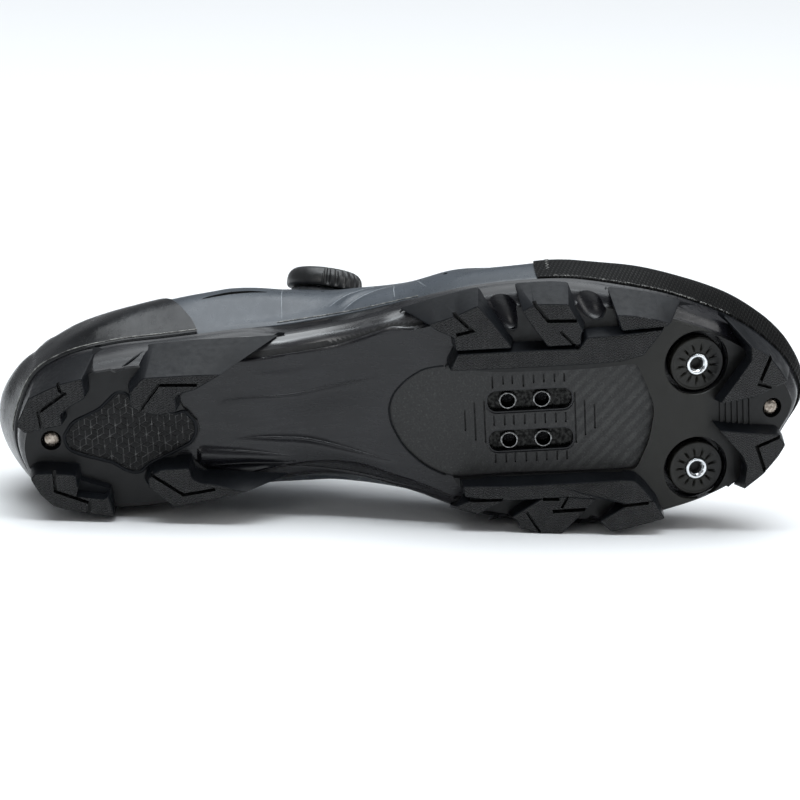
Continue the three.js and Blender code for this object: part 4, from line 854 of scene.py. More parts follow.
def wall_prism(poly, z0, z1, mat=0):
    """Straight prism; z0 and z1 are numbers or functions of y."""
    p = np.asarray(poly, float)
    f = lambda z: z(p[:, 1]) if callable(z) else np.full(len(p), float(z))
    return temp(*lofted([np.column_stack([p, f(z0)]), np.column_stack([p, f(z1)])]), mat)


def band(low, high, y0, y1, step, mat=0):
    """Everything between two heights that follow the shoe's length."""
    ys = np.linspace(y0, y1, int((y1 - y0) / step) + 1)
    v, f = [], []
    for y in ys:
        v += [(-80, y, float(low(y))), (80, y, float(low(y))), (80, y, float(high(y))), (-80, y, float(high(y)))]
    n = len(ys)
    for i in range(n - 1):
        for c in range(4):
            d = (c + 1) % 4
            f.append([i * 4 + c, i * 4 + d, (i + 1) * 4 + d, (i + 1) * 4 + c])
    f += [[0, 3, 2, 1], [(n - 1) * 4 + k for k in range(4)]]
    return temp(v, f, mat)


def stroke(path, width, taper=0.0):
    """Outline of a line of that width through 2-D points."""
    p = np.asarray(path, float)
    t = np.diff(p, axis=0)
    t /= np.linalg.norm(t, axis=1)[:, None]
    nrm = np.stack([-t[:, 1], t[:, 0]], 1)
    left, right = [], []
    for i in range(len(p)):
        if i == 0:
            m, k = nrm[0], 1
        elif i == len(p) - 1:
            m, k = nrm[-1], 1 - taper
        else:
            m = nrm[i - 1] + nrm[i]
            m = m / max((m @ m) / 2, 0.5)
            k = 1
        left.append(p[i] + m * width / 2 * k)
        right.append(p[i] - m * width / 2 * k)
    return np.array(left + right[::-1])


def lathe(profile, at, axis, sides=48, wobble=None):
    """Turned body. profile is (radius, height) pairs from the bottom outwards and up, along axis from at."""
    axis = np.asarray(axis, float) / np.linalg.norm(axis)
    ref = np.array([0, 1.0, 0]) if abs(axis[1]) < 0.9 else np.array([1.0, 0, 0])
    u = np.cross(axis, ref)
    u /= np.linalg.norm(u)
    w = np.cross(axis, u)
    loops = []
    a = np.arange(sides) / sides * 2 * math.pi
    for k, (r, h) in enumerate(profile):
        rr = np.full(sides, float(max(r, 1e-3)))
        hh = np.full(sides, float(h))
        if wobble:
            rr, hh = wobble(k, a, rr, hh)
        loops.append(np.asarray(at) + np.outer(rr * np.cos(a), u) + np.outer(rr * np.sin(a), w) + np.outer(hh, axis))
    return lofted(loops)


def sole_normal(y):
    s = (sheet(y + 2) - sheet(y - 2)) / 4
    v = np.array([0, float(s), -1.0])
    return v / np.linalg.norm(v)


def on_sheet(x, y, deep):
    n = sole_normal(y)
    return np.array([x, y, float(sheet(y))]) - n * deep


# ---------------------------------------------------------------- floor
def make_floor():
    v, f, n = [], [], 24
    size = 30.0
    for i in range(n + 1):
        for j in range(n + 1):
            v.append((size * (2 * i / n - 1), size * (2 * j / n - 1), 0.0))
    for i in range(n):
        for j in range(n):
            a = i * (n + 1) + j
            f.append([a, a + n + 1, a + n + 2, a + 1])
    me = bpy.data.meshes.new("floor")
    me.from_pydata(v, [], f)
    me.materials.append(floor_look())
    o = bpy.data.objects.new("floor", me)
    scene.collection.objects.link(o)


make_floor()

# ---------------------------------------------------------------- sole plate
RS = ring_of(30, 110, 44)
LATERAL = (1 + RS["side"]) / 2 * np.clip(np.abs(RS["out"][:, 0]) * 1.6, 0, 1) + 0.5 * (1 - np.clip(np.abs(RS["out"][:, 0]) * 1.6, 0, 1))

# Creases of the arch: a line in plan and, along it, how far the side nearer the medial edge stands out.
ARCH_STEPS = [
    dict(line=[(9.1, 75.2), (9.6, 79.8), (9.9, 88), (9.9, 103), (12.3, 116.1), (16.4, 135)], rise=[(75.2, 0), (78, -0.9), (86, -0.6), (93, 0.2), (106, 1.0), (122, 0.8), (135, 0)], width=3.2),
    dict(line=[(-4.4, 76.6), (-4.7, 89.1), (-5.5, 97.5), (-6.8, 105.2), (-9.6, 114.8), (-12.7, 125.1), (-16.1, 136.6)], rise=[(76.6, 0), (84, 0.5), (92, 0.9), (110, 1.2), (124, 0.9), (136.6, 0)], width=3.2),
    dict(line=[(-6.4, 68.5), (-8.2, 78.6), (-10.3, 91.4), (-12.7, 102.2)], rise=[(68.5, 1.5), (82, 1.5), (93, 1.0), (102.2, 0)], width=3.2),
    dict(line=[(-12.9, 68.5), (-13.2, 81.5), (-14.5, 102.1)], rise=[(68.5, -1.5), (82, -1.5), (93, -1.0), (102.1, 0)], width=3.2),
    dict(line=[(-14.6, 88.5), (-16.4, 101.4), (-18.5, 114.3), (-21.1, 127.3), (-23.9, 137.6), (-26, 145.2)], rise=[(88.5, 0), (98, -0.8), (125, -1.0), (138, -0.6), (145.2, 0)], width=3.2),
    dict(line=[(19.0, 86), (18.6, 96), (19.2, 108), (21, 120)], rise=[(86, 0), (92, 0.6), (104, 0.5), (120, 0)], width=3.2),
]


def arch_relief(x, y):
    """How far the plate's bottom stands out under its plain surface."""
    out = np.zeros_like(x)
    for s in ARCH_STEPS:
        line = np.array(s["line"])
        lx = curve(line[:, 1], line[:, 0])(y)
        rise = np.array(s["rise"])
        amp = curve(rise[:, 0], rise[:, 1])(y) * ((y > line[0, 1] - 0.01) & (y < line[-1, 1]))
        k = np.clip((lx - x) / s["width"] + 0.5, 0, 1)
        k = k * k * (3 - 2 * k)
        fall = np.clip((lx - x - 1.0) / 11.0, 0, 1)
        out += amp * k * (1 - fall * fall * (3 - 2 * fall))
    mid = np.clip(1 - ((y - 108) / 30) ** 2, 0, 1)
    out -= 0.9 * mid * np.exp(-((x - 3) / 7.5) ** 2)
    return out


def plate_loops():
    y = RS["rim"][:, 1]
    tk = tuck(y)
    arch = np.clip((y - 86) / 12, 0, 1) * np.clip((142 - y) / 10, 0, 1)
    arch = arch * arch * (3 - 2 * arch)
    tk = tk + arch * LATERAL * curve([86, 96, 110, 127, 141.6], [-1.0, -0.8, -0.8, -1.7, -3.0])(y)
    low = plate_z(y)
    high = rim(y)
    flat_at = lambda inset, z: np.column_stack([RS["rim"] - RS["out"] * inset[:, None], z])
    loops = []
    edge = flat_at(tk + 0.9, low)
    spine = np.column_stack([RS["spine"], plate_z(RS["spine"][:, 1])])
    for k in range(0, 22):
        s = k / 21
        p = spine + (edge - spine) * s
        p[:, 2] = plate_z(p[:, 1]) - arch_relief(p[:, 0], p[:, 1]) * (1 - s ** 12)
        loops.append(p)
    one = np.ones(len(y))
    # side: share of the height, inset where the side is plain, inset where it is the rolled edge of the arch
    prof = [(0.012, 1.0, 0.5, 1.0, 0.3), (0.035, 1.0, 0.14, 1.0, -0.05), (0.07, 1.0, -0.1, 1.0, -0.1), (0.09, 0.97, -0.05, 1.0, 0.15), (0.12, 0.92, 0, 0.97, 0.5), (0.15, 0.87, 0, 0.87, 0.3),
            (0.20, 0.76, 0, 0.74, 0.1), (0.27, 0.6, 0, 0.61, 0), (0.36, 0.42, 0, 0.49, 0), (0.46, 0.28, 0.1, 0.40, 0), (0.58, 0.16, 0.25, 0.335, 0), (0.70, 0.07, 0.4, 0.30, 0),
            (0.80, 0.02, 0.45, 0.28, 0), (0.88, 0, 0.45, 0.27, 0.1), (0.95, 0, 0.3, 0.14, 0.3), (1.0, 0, 0.05, 0, 0.7)]
    for h, a, b, c, d in prof:
        plain = tk * a + b
        rolled = tk * c + d
        inset = plain * (1 - arch * LATERAL) + rolled * arch * LATERAL
        loops.append(flat_at(inset * one, low + (high - low) * h))
    loops.append(flat_at(0.5 * one, high + 0.02))
    loops.append(flat_at(LIP * one, high))
    loops.append(flat_at((LIP + 0.6) * one, bed(y)))
    loops.append(np.column_stack([RS["spine"], bed(RS["spine"][:, 1])]))
    return loops


PANEL_PTS = [(3.8, 133.3), (9.2, 135.2), (13.7, 139.3), (18.1, 145.9), (19.1, 152.4), (16.7, 171.2), (16.3, 196.9), (16.8, 212.4), (16.9, 217.2), (9.9, 219.9), (2.9, 222.3), (-1.2, 222.6),
             (-10.8, 220.7), (-16.9, 217.9), (-20.9, 215.9), (-20.9, 208.7), (-20.1, 169.8), (-20.9, 153.2), (-16.2, 143.7), (-9.6, 137.5), (-1.8, 134.0)]
PANEL = np.array(fillet(PANEL_PTS, 4.0, 4))
SLOTS = [(5.4, 180.8), (-8.8, 180.8)]


def stadium(x, y, w, l, n=8, corner=None):
    r = corner or w / 2
    out = []
    for cx, cy, a0 in ((x + w / 2 - r, y + l / 2 - r, 0), (x - w / 2 + r, y + l / 2 - r, 90), (x - w / 2 + r, y - l / 2 + r, 180), (x + w / 2 - r, y - l / 2 + r, 270)):
        for k in range(n + 1):
            a = math.radians(a0 + 90 * k / n)
            out.append((cx + r * math.cos(a), cy + r * math.sin(a)))
    return np.array(out)


RECESS = [(14.8, 237.5), (-23.0, 236.3)]
# Hollows behind the scalloped edges: place, direction, half length, half width, and height against width.
SCOOPS = [
    ((46.0, 170.6, 7.0), (-0.93, 0.37, 0), 16.0, 6.2, 1.0),
    ((44.0, 201.6, 7.0), (-0.955, 0.296, 0), 11.4, 6.0, 1.0),
]


def build_plate():
    plate = temp(*folded(plate_loops()))
    # the cleat panel lies in a shallow recess
    plate = minus(plate, common(wall_prism(PANEL, -5, 40), band(lambda y: -6, lambda y: plate_z(y) + 0.55, 125, 230, 3)))
    for at, axis, a, b, zs in SCOOPS:
        prof = [(b * math.sin(t), -a * math.cos(t)) for t in np.linspace(0.03, math.pi - 0.03, 22)]
        v, f = lathe(prof, (at[0], at[1], 0), axis, 40)
        v = np.array(v)
        v[:, 2] = at[2] + v[:, 2] * zs
        plate = minus(plate, temp(v, f))
    pocket = bed(180.5)
    for x, y in SLOTS:
        plate = minus(plate, wall_prism(stadium(x, y, 7.4, 28.6, 7, 3.1), 0, 30))
        plate = minus(plate, wall_prism(stadium(x, y, 8.6, 29.8, 7, 3.7), 0, float(plate_z(180.5)) + 1.1))
    plate = minus(plate, wall_prism([(-18.9, 161.2), (17.3, 161.2), (17.3, 199.8), (-18.9, 199.8)], float(pocket) - 2.9, 40))
    for x, y in RECESS:
        plate = minus(plate, temp(*lathe([(11.1, -7), (11.1, 3.4)], on_sheet(x, y, 0), sole_normal(y), 40)))
    for x, y in ((0.1, 19.0), (-5.3, 263.5)):
        plate = minus(plate, temp(*lathe([(3.5, -5), (3.5, 6)], on_sheet(x, y, 0), sole_normal(y), 28)))
    # tick marks for the cleat's place
    marks = []

    def tick(px, py, length, across):
        w = 0.28
        if across:
            poly = [(px - length / 2, py - w), (px + length / 2, py - w), (px + length / 2, py + w), (px - length / 2, py + w)]
        else:
            poly = [(px - w, py - length / 2), (px + w, py - length / 2), (px + w, py + length / 2), (px - w, py + length / 2)]
        marks.append(np.array(poly))
    for k, y in enumerate((168.5, 172.1, 175.2, 178.9, 182.4, 185.8, 189.4, 192.7)):
        if k in (0, 3):
            tick(12.4, y, 4.2, True)
        else:
            tick(13.0, y, 3.0, True)
        tick(-1.3, y, 3.6, True)
        tick(-14.9, y, 3.3, True)
    for y, x0, x1 in ((158.8, -4.5, 2.7), (162.1, -8.2, 5.6), (165.4, -9.1, 6.1), (196.0, -10.8, 7.5), (199.2, -8.2, 4.6), (202.5, -6.0, 2.7)):
        tick((x0 + x1) / 2, y, x1 - x0, True)
    v, f = [], []
    for poly in marks:
        a = float(plate_z(poly[:, 1].mean())) + 0.55
        vv, ff = lofted([np.column_stack([poly, np.full(4, a - 2)]), np.column_stack([poly, np.full(4, a + 0.9)])])
        f += [[i + len(v) for i in q] for q in ff]
        v += vv
    plate = minus(plate, temp(v, f))
    return pull(plate)[:2]


def inside(poly, pts):
    """Which 2-D points lie in the polygon."""
    p = np.asarray(poly, float)
    x, y = pts[:, 0], pts[:, 1]
    res = np.zeros(len(pts), bool)
    for a, b in zip(p, np.roll(p, -1, 0)):
        hit = ((a[1] > y) != (b[1] > y))
        with np.errstate(divide="ignore", invalid="ignore"):
            xs = (b[0] - a[0]) * (y - a[1]) / (b[1] - a[1]) + a[0]
        res ^= hit & (x < xs)
    return res


def plate_faces(cen, nor, ids):
    z = plate_z(cen[:, 1]) + 0.55
    beside = (np.abs(cen[:, 0] - SLOTS[0][0]) > 4.6) & (np.abs(cen[:, 0] - SLOTS[1][0]) > 4.6) | (np.abs(cen[:, 1] - SLOTS[0][1]) > 15)
    tick = inside(offset(PANEL, 1.5), cen[:, :2]) & beside & (cen[:, 2] > z + 0.1) & (cen[:, 2] < z + 1.2)
    h = (cen[:, 2] - plate_z(cen[:, 1])) / (rim(cen[:, 1]) - plate_z(cen[:, 1]))
    arch = (cen[:, 0] > 14) & (cen[:, 1] > 80) & (cen[:, 1] < 146)
    # The undercut band and the tick marks take the painted shade material: near-black standing for shade in the
    # recesses.
    under = arch & (h > 0.085) & (h < 0.19)
    roll = arch & ((h > 0.03) & (h <= 0.085) | (h >= 0.19) & (h < 0.56))
    return np.where(inside(offset(PANEL, 0.05), cen[:, :2]) & (np.abs(cen[:, 2] - z) < 0.3) & (nor[:, 2] < -0.6), 1, np.where(roll, 2, np.where(tick | under, 3, 0)))


piece("plate_shell", [build_plate()], [PLATE, TWILL, PLATE_GLOSS, PAINTED_SHADE], ["sole_plate"], 32, plate_faces)

# Fine ribs on the arch: a line in plan, and the half width at its middle.
ARCH_RIBS = [
    ([(8.9, 76.5), (9.6, 80.5), (9.9, 88), (9.9, 103), (12.3, 116.1), (16.0, 133.5)], 0.62),
    ([(-4.4, 77), (-4.7, 89.1), (-5.5, 97.5), (-6.8, 105.2), (-9.6, 114.8), (-12.7, 125.1), (-16.1, 136.6)], 0.7),
    ([(-6.6, 69.5), (-8.2, 78.6), (-10.3, 91.4), (-12.5, 101.5)], 0.6),
    ([(-12.9, 69.5), (-13.2, 81.5), (-14.4, 101.0)], 0.5),
    ([(-14.6, 88.5), (-16.4, 101.4), (-18.5, 114.3), (-21.1, 127.3), (-23.9, 137.6), (-26, 145.2)], 0.5),
]
ribs = []
for line, wide in ARCH_RIBS:
    p = smooth_path([(x, y, 0) for x, y in line], 1.2)
    p[:, 2] = plate_z(p[:, 1]) - arch_relief(p[:, 0], p[:, 1]) + wide * 0.42
    ribs.append(tube(p, wide * np.sin(np.linspace(0.12, math.pi - 0.12, len(p))) ** 0.7, 12))
piece("arch_ribs", ribs, [PLATE], angle=80)


# ---------------------------------------------------------------- rubber
def feather_near(x, y, inset=0.35, lead=0.0):
    i = np.argmin((FEATHER[:, 0] - x) ** 2 + (FEATHER[:, 1] - y - lead) ** 2)
    n = len(FEATHER)
    t = FEATHER[(i + 2) % n] - FEATHER[(i - 2) % n]
    nrm = np.array([t[1], -t[0]]) / np.linalg.norm(t)
    c = np.array([0.5, FEATHER[i, 1]])
    if nrm @ (FEATHER[i] - c) < 0 and abs(nrm[0]) > 0.2:
        nrm = -nrm
    return FEATHER[i] - nrm * inset


# Tread face of each lug. A corner with "o" belongs to the outer wall, which spreads out to the feather line at the
# height top; a corner with a place (x, y, z) has its root there; the others have a plain draft down to the floor.
LUGS = [
    dict(name="HL1", g="heel", top=21.5, p=[(9.1, 8.8, "o"), (10.9, 9.5, "o"), (18.5, 13.4, "o"), (20.6, 17.9, "o"), (22.8, 23.6, "o"), (23.4, 25.3, "o"),
         (24.7, 31.9, (27.6, 35.6, 20.5)), (20.5, 32.4), (17.6, 32.3), (15.3, 27.7), (12.3, 23.7), (8.6, 24.1), (7.4, 17.3), (6.4, 11.3)]),
    dict(name="HL2", g="heel", top=20, p=[(13.8, 47.3), (18.9, 47.4), (23.0, 51.2, (28.6, 52.6, 20)), (23.8, 52.4, (29.0, 55.2, 20)), (23.9, 66, (29.6, 68, 20)),
         (23.7, 78.3, (29.6, 97.6, 20.5)), (18.6, 69.0, (18.4, 73.5, 11.2)), (17.9, 65.7), (16.4, 62.4), (11.2, 62.4), (10.3, 56.3), (11.6, 51.1)]),
    dict(name="HM1", g="heel", top=21, p=[(-10.1, 11.9), (-8.3, 13.6), (-8.5, 19.3), (-9.5, 27.1), (-13.9, 27.4), (-17.6, 37.4), (-25.3, 39.2, "o"), (-24.0, 33.0, "o"), (-23.5, 30.4, "o"),
         (-22.2, 24.5, "o"), (-20.4, 19.0, "o"), (-16.1, 14.9, "o")]),
    dict(name="HM2", g="heel", top=18, p=[(-12.1, 51.4), (-10.4, 53.2), (-9.2, 55.7), (-9.1, 65.3), (-12.9, 66.0), (-14.6, 68.8), (-15.5, 74.0, (-15.4, 78, 12.0)),
         (-18.7, 84.4, (-18.0, 98.2, 12.8)), (-20.9, 72.5, (-25.4, 80, 17)), (-22.8, 59.2, "o"), (-15.1, 51.2, (-15.5, 49.0, 9.6))]),
    dict(name="FLrail", g="fore", top=8, p=[(20.5, 154.6), (21.2, 154.5), (26.3, 157.1), (26.3, 182.1), (26.0, 197.5), (29.9, 200.3), (30.2, 225.9), (22.1, 219.1), (20.5, 211.3), (20.3, 184.5)]),
    dict(name="FL1", g="fore", top=16, p=[(37.4, 147.8, (38.4, 138.4, 15.5)), (38.6, 152.6, (41.4, 150.5, 16)), (40.1, 157.7, (43.0, 158, 16.2)), (43.0, 164.5, (44.4, 165.4, 16)),
         (35.5, 170.0), (28.2, 175.0), (27.5, 175.0), (27.5, 156.6), (32.2, 156.1), (34.8, 150.8)]),
    dict(name="FL2", g="fore", top=16, p=[(40.3, 179.0, (45.0, 177.3, 16)), (42.5, 183.4, (45.1, 184, 16)), (42.2, 189.0, (45.1, 190, 16)), (41.8, 194.6, (44.4, 195.6, 16)), (32.2, 199.2), (31.2, 198.4),
         (27.4, 198.2), (27.4, 187.2), (33.0, 183.4)]),
    dict(name="FL3", g="fore", top=16.5, p=[(37.0, 210.5, (42.1, 208.2, 16)), (36.4, 215.5, (41.2, 214, 16.2)), (34.6, 222.5, (38.6, 224, 16.8)), (32.4, 228.8, (35.5, 233.5, 17.5)), (31.4, 227.0), (31.3, 212.1)]),
    dict(name="FMrail", g="fore", top=8, p=[(-20.9, 156.9), (-21.7, 174.0), (-21.7, 210.2), (-22.4, 214.7), (-25.7, 217.8), (-30.5, 221.0), (-30.9, 212.4), (-28.0, 202.4), (-26.8, 191.0), (-27.0, 169.7), (-24.8, 157.4)]),
    dict(name="FM1", g="fore", top=16, p=[(-26.2, 158.8), (-26.3, 169.7), (-27.4, 169.5), (-29.1, 165.6), (-31.3, 161.4, "o"), (-28.0, 153.8, "o")]),
    dict(name="FM2", g="fore", top=16.5, p=[(-34.5, 174.9, (-38.5, 174.2, 14)), (-32.9, 172.7, (-34.5, 170.8, 9)), (-26.9, 183.0), (-26.5, 191.0), (-27.9, 201.9), (-34.7, 194.9, (-40.6, 196.4, 15)), (-39.8, 189.7, "o"), (-39.4, 182.4, "o"), (-37.0, 175.4, "o")]),
    dict(name="FM3", g="fore", top=16.5, p=[(-36.1, 202.5, (-40.6, 202.2, 15)), (-31.0, 212.2), (-30.6, 221.4), (-37.3, 224.9, "o"), (-38.9, 215.0, "o"), (-40.3, 206.5, "o")]),
    dict(name="TL", g="fore", top=22, p=[(15.1, 255.9), (20.5, 255.9, (28.4, 247.4, 20.0)), (18.6, 259.0, (23.6, 255.0, 22.0)), (15.9, 262.1, (18.2, 261.2, 24.0)), (11.2, 265.3, (12.1, 266.8, 26.2)),
         (5.7, 268.4, (5.2, 270.9, 27.5)), (4.2, 263.0), (2.1, 257.0), (1.7, 245.0), (8.2, 250.3)]),
    dict(name="TM", g="fore", top=24, p=[(-8.0, 244.4), (-10.6, 255.0), (-12.8, 264.4), (-17.0, 267.3, (-18.2, 267.8, 25)), (-20.7, 264.7, (-23.6, 264.0, 24)), (-26.2, 259.3, (-30.0, 257.0, 22.5)),
         (-30.6, 252.4, (-33.8, 250.0, 21)), (-22.5, 253.7), (-18.1, 252.0)]),
]
GROOVES = [
    ("heel", 1.15, [(24.6, 23.4), (20.8, 24.2), (19.7, 25.6), (13.5, 16.4), (5.6, 17.4)]),
    ("heel", 1.15, [(10.6, 48.9), (21.0, 57.1), (20.3, 69.9)]),
    ("heel", 1.15, [(-6.8, 19.9), (-14.9, 19.9), (-19.7, 31.1), (-25.6, 30.1)]),
    ("heel", 1.15, [(-9.6, 51.0), (-18.6, 62.8), (-17.2, 73.5)]),
    ("fore", 1.25, [(42.4, 154.6), (34.2, 162.4), (33.1, 156.9)]),
    ("fore", 1.25, [(44.6, 181.9), (36.3, 187.7), (35.9, 197.1)]),
    ("fore", 1.1, [(32.4, 191.6), (26.0, 197.4)]),
    ("fore", 1.1, [(-26.2, 159.1), (-26.5, 170.1)]),
    ("fore", 1.2, [(-27.0, 183.6), (-27.3, 189.2)]),
    ("fore", 0.9, [(-26.5, 192.1), (-30.6, 189.8)]),
    ("fore", 1.3, [(-31.6, 186.7), (-31.5, 197.9)]),
    ("fore", 0.9, [(-31.4, 178.0), (-38.9, 182.2)]),
    ("fore", 1.2, [(-31.2, 208.6), (-30.9, 219.4)]),
    ("fore", 1.3, [(16.9, 263.2), (6.5, 258.4), (3.6, 265.2)]),
    ("fore", 1.2, [(-13.4, 266.4), (-15.9, 257.2), (-25.4, 259.9)]),
]


def lug_solid(l):
    top_poly, roots = [], []
    pts = l["p"]
    flat2 = np.array([(q[0], q[1]) for q in pts])
    out = offset(flat2, -1.1)
    for i, q in enumerate(pts):
        x, y = q[0], q[1]
        top_poly.append((x, y, float(tread(y))))
        if len(q) > 2 and q[2] == "o":
            r = feather_near(x, y)
            roots.append((r[0], r[1], l["top"]))
        elif len(q) > 2:
            roots.append(q[2])
        else:
            roots.append((out[i][0], out[i][1], float(sheet(out[i][1])) + 0.7))
    a, b = fillet(top_poly, 0.7, 2), fillet(roots, 1.1, 2)
    a, b = divide([a, b], 5.0)
    a[:, 2] = tread(a[:, 1])
    s = 1 if area2(a) > 0 else -1
    if s < 0:
        a, b = a[::-1], b[::-1]
    a0 = a.copy()
    a0[:, :2] = offset(a[:, :2], 0.28)
    a0[:, 2] = tread(a0[:, 1])
    a1 = a.copy()
    a1[:, 2] += 0.24
    share = np.clip((b[:, 2] - sheet(b[:, 1]) - 2.5) / 4, 0, 1)[:, None]
    b1 = b.copy()
    c = b[:, :2].mean(0)
    b1[:, :2] = offset(b[:, :2], 0.75) * share + b[:, :2] * (1 - share)
    b1[:, 2] += 0.6
    b2 = b1.copy()
    b2[:, :2] = offset(b1[:, :2], 2.0) * share + b1[:, :2] * (1 - share)
    b2[:, 2] += 0.35
    bb = b.copy()
    bb[:, 2] -= 0.25 * share[:, 0]
    return temp(*lofted([a0, a1, bb, b1, b2]), 1)


def curve_solid(poly, low, high, mat, step=2.5):
    p = divide([np.asarray(poly, float)], step)[0]
    return temp(*lofted([np.column_stack([p, low(p[:, 1])]), np.column_stack([p, high(p[:, 1])])]), mat)


INLAY_PTS = [(0.9, 23.4), (6.1, 26.9), (10.0, 36.1), (15.6, 42.1), (15.8, 44.6), (13.3, 47.0), (10.9, 52.0), (7.0, 61.6), (8.0, 64.4), (4.0, 67.5), (0.4, 67.8), (-3.0, 65.9), (-5.5, 60.7),
             (-9.7, 51.3), (-12.5, 48.4), (-12.7, 46.1), (-11.3, 42.9), (-8.7, 39.7), (-5.4, 29.3), (-3.4, 25.0)]
INLAY = fillet(INLAY_PTS, 2.2, 4)

# Edge of the rubber on each side, in plan: (y, x) where it leaves the plate's own edge.
NOTCH_LAT = [(37.3, 27.6), (37.8, 26.9), (39.4, 25.1), (41.4, 23.4), (42.4, 23.1), (44.7, 23.8), (48.6, 26.0), (52.5, 27.5), (55.0, 28.2)]
SCALLOPS = [
    (1, [(165.0, 43.6), (165.8, 41.7), (167.5, 38.6), (169.5, 35.7), (171.9, 33.4), (174.1, 31.8), (176.2, 31.1), (177.6, 32.1), (177.8, 35.0), (177.1, 44.0)]),
    (1, [(195.8, 43.6), (196.5, 41.4), (197.8, 38.1), (200.1, 35.4), (202.5, 33.7), (204.7, 33.3), (206.4, 34.2), (207.4, 36.7), (207.2, 39.9), (208.1, 42.4)]),
    (-1, [(166.3, -38.5), (167.5, -36.5), (170.2, -34.8), (172.4, -35.4), (173.2, -38.9)]),
    (-1, [(196.4, -41.8), (197.6, -38.4), (200.0, -36.4), (202.4, -37.4), (203.2, -41.6)]),
]


# The sheet ends close behind the lugs and round the inlay; beyond these lines the plate is bare.
HEEL_FRONT = [(60, 66), (17, 66), (12, 63), (8.6, 64.5), (4.2, 68.6), (0.4, 69.2), (-3.6, 67.2), (-6.4, 61.9), (-9, 60), (-9.2, 66), (-15, 72), (-60, 72), (-60, 90), (60, 90)]
FORE_REAR = [(60, 120), (60, 150), (36, 150.4), (31.5, 155.6), (25.9, 155.9), (23.1, 156.4), (19.2, 152.9), (0, 151), (-20.8, 153.9), (-27.3, 158.1), (-28.4, 153.6), (-60, 153.6), (-60, 120)]


def sheet_outline(y0, y1, extra, grow=0.25):
    """Plan outline of the rubber sheet between two places along the shoe."""
    r, o = RS["rim"], RS["out"]
    edge = r - o * (tuck(r[:, 1]) - grow)[:, None]
    pts = []
    for side in (1, -1):
        k = edge[(RS["side"] == side)]
        if side == 1:
            k = k[np.argsort(np.arange(len(k)))]
        pts.append(k)
    ring = edge.copy()
    poly = []
    n = len(ring)
    for i in range(n):
        a, b = ring[i], ring[(i + 1) % n]
        ina, inb = y0 <= a[1] <= y1, y0 <= b[1] <= y1
        if ina:
            poly.append(tuple(a))
        if ina != inb:
            yy = y0 if min(a[1], b[1]) < y0 <= max(a[1], b[1]) else y1
            s = (yy - a[1]) / (b[1] - a[1])
            poly.append((a[0] + (b[0] - a[0]) * s, yy))
    poly = np.array(poly)
    return poly


def notch_solid(side, pts, z0=-2, z1=40):
    p = [(x, y) for y, x in pts]
    far = 60 * side
    poly = [(far, p[0][1])] + p + [(far, p[-1][1])]
    return wall_prism(poly, z0, z1, 2)


def build_tread(group, y0, y1):
    outline = sheet_outline(y0, y1, None)
    floor = common(wall_prism(outline, -5, 60, 2), band(sheet, lambda y: plate_z(y) + 0.35, y0 - 4, y1 + 4, 2.0, 2))
    if group == "heel":
        floor = minus(floor, notch_solid(1, NOTCH_LAT))
        floor = minus(floor, wall_prism(offset(INLAY, -0.1), -5, 60, 2))
        floor = minus(floor, wall_prism(HEEL_FRONT, -5, 60, 2))
    else:
        for s, pts in SCALLOPS:
            floor = minus(floor, notch_solid(s, pts))
        floor = minus(floor, wall_prism(PANEL, -5, 60, 2))
        floor = minus(floor, wall_prism(FORE_REAR, -5, 60, 2))
    solid = floor
    for l in LUGS:
        if l["g"] == group:
            solid = plus(solid, lug_solid(l))
    if group == "fore":
        for k in range(6):
            y = 245.6 + k * 2.05
            w0, w1 = 1.6 - 0.15 * k, -8.6 - 0.35 * k
            rib = curve_solid([(w1, y - 0.45), (w0, y - 0.45), (w0, y + 0.45), (w1, y + 0.45)], lambda q: sheet(q) - 0.55, lambda q: sheet(q) + 0.5, 2)
            solid = plus(solid, rib)
        for x, y in RECESS:
            solid = minus(solid, temp(*lathe([(11.2, -8), (11.2, -0.3), (11.45, 0.05), (11.8, 3.0)], on_sheet(x, y, 0), sole_normal(y), 72), 3))
        solid = minus(solid, temp(*lathe([(3.5, -6), (3.5, 3)], on_sheet(-5.3, 263.5, 0), sole_normal(263.5), 36), 3))
        solid = minus(solid, wall_prism(offset(PANEL, 0.0), 5.0, 60, 2))
    else:
        solid = minus(solid, temp(*lathe([(3.5, -6), (3.5, 3)], on_sheet(0.1, 19.0, 0), sole_normal(19.0), 36), 3))
        # the recess in the inner side of the first medial lug
        solid = minus(solid, curve_solid([(-8.6, 29.4), (-9.2, 38.6), (-16.6, 39.4), (-18.8, 35.9), (-17.2, 26.6)], lambda q: tread(q) - 3, lambda q: tread(q) + 5.5, 1))
    for g, w, line in GROOVES:
        if g == group:
            solid = minus(solid, curve_solid(stroke(line, w), lambda q: tread(q) - 2, lambda q: tread(q) + 2.7, 3, 3.0))
    return pull(solid)


def rubber_faces(cen, nor, ids):
    z = cen[:, 2]
    far = np.clip((cen[:, 1] - 200) / 20, 0, 1)
    top = (np.abs(z - tread(cen[:, 1])) < 0.12 + 0.95 * far) & (nor[:, 2] < -0.9 + 0.16 * far)
    out = np.where(ids == 2, 2, np.where(ids == 3, 2, 1))
    out = np.where(top & (ids == 1), 0, out)
    return out


def bead(points, radius, z=None):
    p = smooth_path(points, 0.9)
    r = np.full(len(p), radius)
    r[0] = r[-1] = radius * 0.35
    return tube(p, r, 8)


heel_v, heel_f, heel_m = build_tread("heel", -10, 70.5)
piece("heel_rubber", [(heel_v, heel_f, heel_m)], [FACE, WALL, FLOOR_R], ["heel_tread"], 30, rubber_faces)
fore_v, fore_f, fore_m = build_tread("fore", 147.5, 290)
piece("forefoot_rubber", [(fore_v, fore_f, fore_m)], [FACE, WALL, FLOOR_R], ["forefoot_tread"], 30, rubber_faces)

